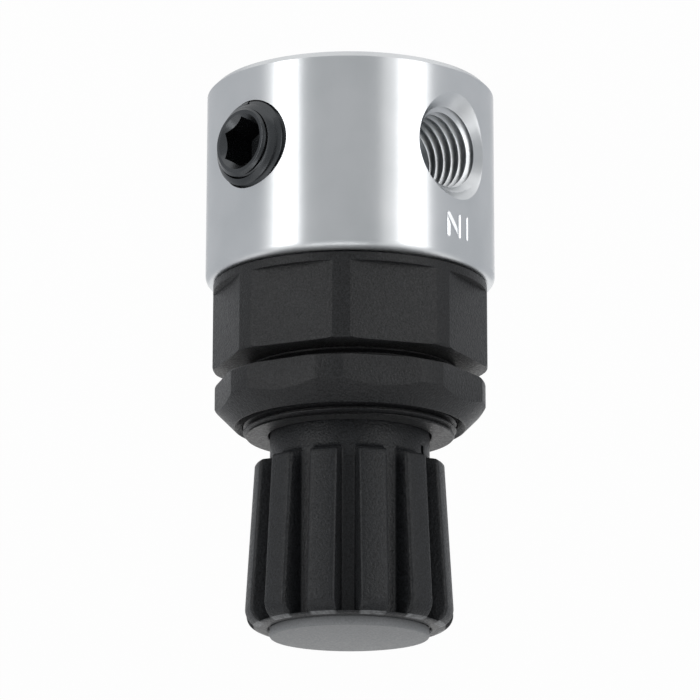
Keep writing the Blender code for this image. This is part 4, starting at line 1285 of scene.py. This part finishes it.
class Knob(Assembly):
    """Ribbed knob, made as one rib's sector that a node tree repeats round the axis."""

    sizes = KnobSizes()

    # Degrees down the rim's rounding at which it has a level, above and beside the grooves.
    RIM_ABOVE_GROOVES = range(0, 29, 7)
    RIM_BESIDE_GROOVES = range(48, 91, 6)
    # Millimetres above or below a groove's end, and how far its floor is from crown or floor.
    GROOVE_START = ((0.12, 0.04), (0.05, 0.14), (0.01, 0.38))
    GROOVE_ROUNDING = ((0.01, 0.4), (0.05, 0.2), (0.14, 0.07), (0.35, 0.0))
    # Degrees along the fillet under the ribs, and whether the grooves still show there.
    UNDER_RIBS = ((0, True), (15, True), (30, True), (42, True), (52, True), (70, False),
                  (90, False))
    FLARE_STEPS = 12
    FOOT_STEPS = 4
    ROUNDING_STEPS = 4
    # Share of a shallow groove's depth that each of its roundings may take.
    ROUNDED_SHARE = 0.45

    def ribbed_arc(self, crown: float, floor: float) -> list[Vector]:
        """Points across one rib's sector, from mid-groove to mid-groove.

        Args:
            crown: Radius of the rib's crown.
            floor: Radius of the grooves' floor.

        Returns:
            Points in the plane, counter-clockwise about the rib's middle.
        """
        s = self.sizes
        half_w = s.rib_w / 2
        most = self.ROUNDED_SHARE * (crown - floor)
        edge, root = min(s.rib_edge, most), min(s.rib_root, most)
        corner = Vector((math.sqrt((crown - edge) ** 2 - (half_w - edge) ** 2), half_w - edge))
        hollow = Vector((math.sqrt((floor + root) ** 2 - (half_w + root) ** 2), half_w + root))
        corner_angle = math.atan2(corner.y, corner.x)
        hollow_angle = math.atan2(hollow.y, hollow.x)
        steps = self.ROUNDING_STEPS
        points = [self.polar(crown, corner_angle * i / (steps + 1)) for i in range(steps + 1)]
        sweep = math.pi / 2 - corner_angle
        points += [corner + self.polar(edge, corner_angle + sweep * i / steps)
                   for i in range(steps + 1)]
        back = hollow_angle - math.pi
        points += [hollow + self.polar(root, -math.pi / 2 + (back + math.pi / 2) * i / steps)
                   for i in range(steps + 1)]
        end = math.pi / RIB_COUNT
        points += [self.polar(floor, hollow_angle + (end - hollow_angle) * i / (steps - 1))
                   for i in range(1, steps)]
        return [Vector((p.x, -p.y)) for p in reversed(points[1:])] + points

    @staticmethod
    def polar(radius: float, angle: float) -> Vector:
        """Point in the plane at a radius and an angle."""
        return Vector((radius * math.cos(angle), radius * math.sin(angle)))

    def crown(self, height: float) -> float:
        """Radius of the ribs' crowns at a height, on the flare or on the rim's rounding."""
        s = self.sizes
        rim_z = s.top_z - s.rim_fillet
        foot_z = s.rib_z + s.foot_round
        if height > rim_z:
            lean = math.asin(min((height - rim_z) / s.rim_fillet, 1.0))
            return s.head_r - s.rim_fillet * (1 - math.cos(lean))
        return s.head_r + (s.foot_r - s.head_r) * (rim_z - height) / (rim_z - foot_z)

    def levels(self) -> list[tuple[float, float, float | None]]:
        """Height, crown and floor radius of each level, downwards; one with no floor is round."""
        s = self.sizes
        levels = [(s.top_z - s.recess, 0.0, None), (s.top_z - s.recess, s.recess_r, None),
                  (s.top_z - s.recess_chamfer, s.recess_r, None),
                  (s.top_z, s.recess_r + s.recess_chamfer, None)]
        rim_z = s.top_z - s.rim_fillet
        end_z = s.top_z - s.groove_stop
        for degrees in self.RIM_ABOVE_GROOVES:
            height = rim_z + s.rim_fillet * math.cos(math.radians(degrees))
            levels.append((height, self.crown(height), None))
        for above, short in self.GROOVE_START:
            crown = self.crown(end_z + above * MM)
            levels.append((end_z + above * MM, crown, crown - short * MM))
        for below, up in self.GROOVE_ROUNDING:
            height = end_z - below * MM
            levels.append((height, self.crown(height), s.floor_r + up * MM))
        for degrees in self.RIM_BESIDE_GROOVES:
            height = rim_z + s.rim_fillet * math.cos(math.radians(degrees))
            levels.append((height, self.crown(height), s.floor_r))
        foot_z = s.rib_z + s.foot_round
        for i in range(1, self.FLARE_STEPS + 1):
            height = rim_z + (foot_z - rim_z) * i / self.FLARE_STEPS
            levels.append((height, self.crown(height), s.floor_r))
        for i in range(1, self.FOOT_STEPS + 1):
            angle = math.pi / 2 * i / self.FOOT_STEPS
            levels.append((foot_z - s.foot_round * math.sin(angle),
                           s.foot_r - s.foot_round * (1 - math.cos(angle)), s.floor_r))
        fillet_z = s.rib_z - s.under_step - s.under_fillet
        fillet_r = s.neck_r + s.under_fillet
        for degrees, floor in self.UNDER_RIBS:
            angle = math.radians(degrees)
            levels.append((fillet_z + s.under_fillet * math.cos(angle),
                           fillet_r - s.under_fillet * math.sin(angle),
                           s.floor_r if floor else None))
        levels += [(s.bottom_z + s.neck_chamfer, s.neck_r, None),
                   (s.bottom_z, s.neck_r - s.neck_chamfer, None),
                   (s.bottom_z, 0.0, None)]
        return levels

    def sector(self) -> bpy.types.Object:
        """Skin of the knob across one rib, from the recess over the rim to the bottom face."""
        s = self.sizes
        shape = bmesh.new()
        rows = []
        spacing = [math.atan2(p.y, p.x) for p in self.ribbed_arc(s.head_r, s.floor_r)]
        across = len(spacing)
        for height, crown, floor in self.levels():
            if crown == 0.0:
                rows.append([shape.verts.new((0.0, 0.0, height))] * across)
                continue
            if floor is None:
                arc = [self.polar(crown, angle) for angle in spacing]
            else:
                arc = self.ribbed_arc(crown, floor)
            rows.append([shape.verts.new((p.x, p.y, height)) for p in arc])
        for upper, lower in zip(rows, rows[1:]):
            for i in range(across - 1):
                corners = [upper[i], lower[i], lower[i + 1], upper[i + 1]]
                shape.faces.new(list(dict.fromkeys(corners)))
        return to_object(shape, "knob_sector")

    def build(self) -> None:
        """Make the knob and hand it in."""
        s = self.sizes
        knob = self.ring.repeat("ribbed_knob", self.sector(), RIB_COUNT, RIB_TURN)
        shape = bmesh.new()
        shape.from_mesh(knob.data)
        bmesh.ops.recalc_face_normals(shape, faces=shape.faces)
        shape.to_mesh(knob.data)
        shape.free()
        ceiling = s.bottom_z + s.bore_h
        below = s.bottom_z - OVER
        carve(knob, rod("bore", s.bore_r, below, ceiling, BORE_FACETS))
        carve(knob, rod("socket", s.socket_r, ceiling - OVER, s.socket_top_z + OVER, 6, RIB_TURN))
        carve(knob, rod("pocket", s.pocket_r, s.socket_top_z, s.top_z, BORE_FACETS))
        gap = block("gap", (s.bore_r - OVER, -s.gap_w / 2, below),
                    (s.neck_r + OVER, s.gap_w / 2, s.bottom_z + s.gap_h))
        carve(knob, self.ring.repeat("gaps", gap, RIB_COUNT, RIB_TURN))
        window_top = s.rib_z - s.window_drop
        window = block("window", (s.bore_r - OVER, -s.window_w / 2, window_top - s.window_h),
                       (s.neck_r + OVER, s.window_w / 2, window_top))
        carve(knob, self.ring.repeat("windows", window, s.windows, s.window_turn))
        self.hand_in(knob, "knob", "knob_plastic", "knob")


@dataclass
class CapSizes:
    """Sizes of the knob's cap."""

    bottom_z: float = 77.7 * MM
    top_z: float = 79.0 * MM
    radius: float = 11.1 * MM
    spigot_r: float = 6.8 * MM
    spigot_wall: float = 1.2 * MM
    spigot_h: float = 3.0 * MM
    spigot_fillet: float = 0.2 * MM
    rim_fillet: float = 0.35 * MM
    foot_fillet: float = 0.1 * MM
    facets: int = 160


class Cap(Assembly):
    """Grey cap pressed into the knob's end."""

    sizes = CapSizes()

    def build(self) -> None:
        """Make the cap and hand it in."""
        s = self.sizes
        inner_r = s.spigot_r - s.spigot_wall
        outline = rounded([
            (0.0, s.top_z, 0.0), (s.radius, s.top_z, s.rim_fillet),
            (s.radius, s.bottom_z, s.foot_fillet), (s.spigot_r, s.bottom_z, 0.0),
            (s.spigot_r, s.bottom_z - s.spigot_h, s.spigot_fillet),
            (inner_r, s.bottom_z - s.spigot_h, s.spigot_fillet), (inner_r, s.bottom_z, 0.0),
            (0.0, s.bottom_z, 0.0),
        ])
        cap = lathe("grey_cap", outline, s.facets)
        self.hand_in(cap, "knob", "cap_plastic", "knob_cap")


@dataclass
class SprungSizes:
    """Sizes of the springs and the diaphragm."""

    control_wire: float = 2.2 * MM
    control_r: float = 9.3 * MM
    control_turns: float = 3.25
    control_flat: float = 0.4
    control_z: float = 26.7 * MM
    control_length: float = 13.5 * MM
    control_travel: float = 5.0 * MM
    valve_wire: float = 0.7 * MM
    valve_r: float = 3.15 * MM
    valve_turns: float = 4.5
    valve_z: float = 4.9 * MM
    valve_length: float = 5.8 * MM
    lift: float = 0.8 * MM
    diaphragm_z: float = 24.3 * MM
    thickness: float = 0.8 * MM
    hole_r: float = 2.4 * MM
    rim_r: float = 17.2 * MM
    roll_middle_r: float = 13.1 * MM
    roll_r: float = 1.1 * MM
    roll_steps: int = 12
    thinned: float = 0.3


class SprungPieces(Assembly):
    """The two springs and the diaphragm, made again in their resting shapes."""

    sizes = SprungSizes()

    def coil(self, name: str, wire: float, radius: float, turns: float, flat: float, z: float,
             length: float) -> bpy.types.Object:
        """Wind a spring that stands on a height.

        Args:
            name: Name of the spring.
            wire: Diameter of the wire.
            radius: Radius of the coil's middle.
            turns: Turns in all.
            flat: Turns laid flat at each end.
            z: Height of the lowest point.
            length: Length of the spring.

        Returns:
            The spring.
        """
        return self.ridges[Section.WIRE].make(
            name, Turns=turns, Flat_Turns=flat, Start_Radius=radius, End_Radius=radius,
            Base=z + wire / 2, Rise=length - wire, Points=int(turns * COIL_STEPS) + 1,
            Wire_Radius=wire / 2)

    def diaphragm(self) -> bpy.types.Object:
        """Turn the diaphragm with its rolled ring."""
        s = self.sizes
        half = s.thickness / 2
        middle = s.diaphragm_z + half
        toe = math.asin(half / (s.roll_r + half))
        outer, inner = s.roll_r + half, s.roll_r - half
        top = s.diaphragm_z + s.thickness
        outline = [(s.hole_r, top)]
        for i in range(s.roll_steps + 1):
            angle = math.pi - toe - (math.pi - 2 * toe) * i / s.roll_steps
            outline.append((s.roll_middle_r + outer * math.cos(angle),
                            middle + outer * math.sin(angle)))
        outline += [(s.rim_r, top), (s.rim_r, s.diaphragm_z),
                    (s.roll_middle_r + inner, s.diaphragm_z)]
        outline += [(s.roll_middle_r + inner * math.cos(math.pi * i / 8),
                     middle + inner * math.sin(math.pi * i / 8)) for i in range(9)]
        outline += [(s.roll_middle_r - inner, s.diaphragm_z), (s.hole_r, s.diaphragm_z)]
        return lathe("rolled_diaphragm", outline, BORE_FACETS)

    def build(self) -> None:
        """Make the three pieces and hand them in."""
        s = self.sizes
        control = self.coil("control_coil", s.control_wire, s.control_r, s.control_turns,
                            s.control_flat, s.control_z, s.control_length)
        self.hand_in(control, "housing", "spring_steel", "control_spring")
        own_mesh(control)
        valve = self.coil("valve_coil", s.valve_wire, s.valve_r, s.valve_turns, 0.0, s.valve_z,
                          s.valve_length)
        self.hand_in(valve, "housing", "spring_steel", "valve_spring")
        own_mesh(valve)
        sheet = self.diaphragm()
        self.hand_in(sheet, "housing", "black_rubber", "diaphragm")
        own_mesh(sheet)


class Studio:
    """White surroundings, soft lamps and the camera."""

    AIM = Vector((0.0, 0.0, 37.8 * MM))
    DISTANCE = 544.7 * MM
    ELEVATION = math.radians(14.11)
    BEARING = math.radians(226.5)
    ROLL = math.radians(180.1)
    LENS = 198.4
    FLOOR_Z = -0.05 * MM
    CARD_FOOT = -500 * MM
    CARD_TOP = 500 * MM
    CARD_STEPS = 16
    SOFT_LIGHT = 0.45
    FLOOR_RADIUS = 4.0
    FLOOR_WHITE = 0.97
    ROUND_STEPS = 64
    SENSOR = 36.0
    NEAREST = 0.01

    def direction(self, bearing: float, elevation: float) -> Vector:
        """Unit vector from the object at a bearing and an elevation in radians."""
        flat = math.cos(elevation)
        return Vector((flat * math.cos(bearing), flat * math.sin(bearing), math.sin(elevation)))

    def camera(self) -> None:
        """Place the camera at the photograph's viewing angle, upside down as the photograph is."""
        data = bpy.data.cameras.new("camera")
        data.lens = self.LENS
        data.sensor_width = self.SENSOR
        data.clip_start = self.NEAREST
        camera = bpy.data.objects.new("camera", data)
        back = self.direction(self.BEARING, self.ELEVATION)
        camera.location = self.AIM + back * self.DISTANCE
        level = back.to_track_quat("Z", "Y").to_matrix().to_4x4()
        camera.matrix_world = (Matrix.Translation(camera.location) @ level
                               @ Matrix.Rotation(self.ROLL, 4, "Z"))
        bpy.context.scene.collection.objects.link(camera)
        bpy.context.scene.camera = camera

    def lamp(self, name: str, bearing: float, elevation: float, distance: float, size: tuple,
             power: float) -> None:
        """Hang a soft area lamp that faces the object.

        Args:
            name: Name of the lamp.
            bearing: Degrees from the camera's bearing.
            elevation: Degrees above the object's middle.
            distance: Metres from the object.
            size: Width and height in metres.
            power: Watts.
        """
        data = bpy.data.lights.new(name, "AREA")
        data.shape = "RECTANGLE"
        data.size, data.size_y = size
        data.energy = power
        lamp = bpy.data.objects.new(name, data)
        away = self.direction(self.BEARING + math.radians(bearing), math.radians(elevation))
        lamp.location = self.AIM + away * distance
        lamp.rotation_euler = away.to_track_quat("Z", "Y").to_euler()
        lamp.visible_camera = False
        bpy.context.scene.collection.objects.link(lamp)

    def world(self) -> None:
        """White surroundings for the camera and the reflections, and soft light for the rest."""
        world = bpy.data.worlds.new("surroundings")
        world.use_nodes = True
        tree = NodeTree(world.node_tree)
        path = tree.node("LightPath").outputs
        seen = tree.node("Math.MAXIMUM", path["Is Camera Ray"], path["Is Glossy Ray"])
        through = tree.node("Math.MAXIMUM", seen, path["Is Transmission Ray"])
        background = tree.tree.nodes["Background"]
        tree.feed(background.inputs["Color"], srgb("ffffff"))
        tree.feed(background.inputs["Strength"],
                  tree.node("MapRange", through, To_Min=self.SOFT_LIGHT, To_Max=1.0))
        bpy.context.scene.world = world

    def card(self, name: str, bearing: float, half_width: float, distance: float,
             shade: str) -> None:
        """Stand a curved card round the object that only reflections see.

        Args:
            name: Name of the card.
            bearing: Degrees from the camera's bearing to its middle.
            half_width: Degrees to each side.
            distance: Metres from the axis.
            shade: Hex colour that it shows.
        """
        shape = bmesh.new()
        rows = []
        for i in range(self.CARD_STEPS + 1):
            aside = half_width * (2 * i / self.CARD_STEPS - 1)
            angle = self.BEARING + math.radians(bearing + aside)
            x, y = distance * math.cos(angle), distance * math.sin(angle)
            rows.append((shape.verts.new((x, y, self.CARD_FOOT)),
                         shape.verts.new((x, y, self.CARD_TOP))))
        for near, far in zip(rows, rows[1:]):
            shape.faces.new((near[0], far[0], far[1], near[1]))
        self.show(to_object(shape, name), shade)

    def ceiling(self, name: str, height: float, radius: float, shade: str) -> None:
        """Hang a round card over the object that only reflections see.

        Args:
            name: Name of the card.
            height: Metres above the floor.
            radius: Metres.
            shade: Hex colour that it shows.
        """
        shape = bmesh.new()
        bmesh.ops.create_circle(shape, cap_ends=True, segments=self.ROUND_STEPS, radius=radius,
                                matrix=Matrix.Translation((0.0, 0.0, height)))
        self.show(to_object(shape, name), shade)

    def show(self, card: bpy.types.Object, shade: str) -> None:
        """Give a card its shade, for reflections alone."""
        shader = Shader(card.name)
        shader.feed(shader.result, shader.node("Emission", srgb(shade)))
        card.data.materials.append(shader.material)
        card.visible_camera = False
        card.visible_diffuse = False
        card.visible_shadow = False
        card.visible_transmission = False

    def floor(self) -> None:
        """Lay a pale floor below the object that shows white and keeps a soft shadow."""
        shape = bmesh.new()
        bmesh.ops.create_circle(shape, cap_ends=True, segments=self.ROUND_STEPS,
                                radius=self.FLOOR_RADIUS,
                                matrix=Matrix.Translation((0.0, 0.0, self.FLOOR_Z)))
        floor = to_object(shape, "floor")
        shader = Shader("pale_floor")
        # Matte white board: the camera sees it nearly white, and it still shows the soft shadow.
        shader.dress(Base_Color=srgb("f2f2f2"), Roughness=0.9, Specular_IOR_Level=0.0)
        seen = shader.node("Math.MULTIPLY", shader.node("LightPath").outputs["Is Camera Ray"],
                           self.FLOOR_WHITE)
        shader.feed(shader.result, shader.node("MixShader", seen, shader.surface,
                                               shader.node("Emission")))
        floor.data.materials.append(shader.material)
        floor.visible_glossy = False
        floor.visible_shadow = False

    def build(self) -> None:
        """Set up the camera, the lamps and the surroundings."""
        self.camera()
        self.world()
        self.floor()
        self.lamp("left_lamp", -50, -8, 0.75, (0.30, 0.60), 1.1)
        self.lamp("right_lamp", 50, -8, 0.75, (0.30, 0.60), 1.3)
        self.lamp("top_lamp", 15, 62, 0.9, (0.6, 0.6), 1.7)
        self.card("camera_card", 8.0, 33, 0.50, "b6b8ba")
        self.card("left_card", -112, 46, 0.55, "cacccf")
        self.card("right_card", 116, 46, 0.55, "cacccf")
        self.ceiling("ceiling_card", 0.6, 0.38, "77797b")
        bpy.context.scene.view_settings.view_transform = "Standard"


class HiddenPieces(Assembly):
    """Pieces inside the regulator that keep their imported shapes."""

    SLOTS = {
        "valve_seat": "inner_brass", "seat_o_ring": "black_rubber", "valve_poppet": "inner_brass",
        "valve_disc": "black_rubber", "relief_stud": "inner_brass", "diaphragm_plate": "zinc_steel",
        "stud_nut": "zinc_steel", "slip_ring": "white_acetal", "adjusting_screw": "zinc_steel",
        "thrust_washer": "white_acetal", "screw_clip": "spring_steel",
        "knob_stop_screw": "zinc_steel", "spring_nut": "inner_brass",
    }

    def build(self, nodes: dict) -> None:
        """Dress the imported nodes.

        Args:
            nodes: Packed objects by name.
        """
        for name, slot in self.SLOTS.items():
            self.finishes.put_on_packed(nodes[name], slot)
            log.info("%s keeps its packed shape, in %s", name, slot)


def main() -> None:
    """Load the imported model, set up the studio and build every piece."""
    logging.basicConfig(level=logging.INFO, format="%(name)s: %(message)s")
    for item in list(bpy.data.objects):
        bpy.data.objects.remove(item, do_unlink=True)
    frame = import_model()
    Studio().build()
    shared = (Finishes(), RingOfPieces(), {section: HelixSweep(section) for section in Section})
    Body(*shared).build()
    plug = GaugePlug(*shared)
    plug.build("front_plug", "front_gauge_plug", Facing.FRONT)
    plug.build("rear_plug", "rear_gauge_plug", Facing.REAR)
    Bonnet(*shared).build()
    PanelNut(*shared).build()
    Knob(*shared).build()
    Cap(*shared).build()
    SprungPieces(*shared).build()
    HiddenPieces(*shared).build(frame["nodes"])


if __name__ == "__main__":
    main()
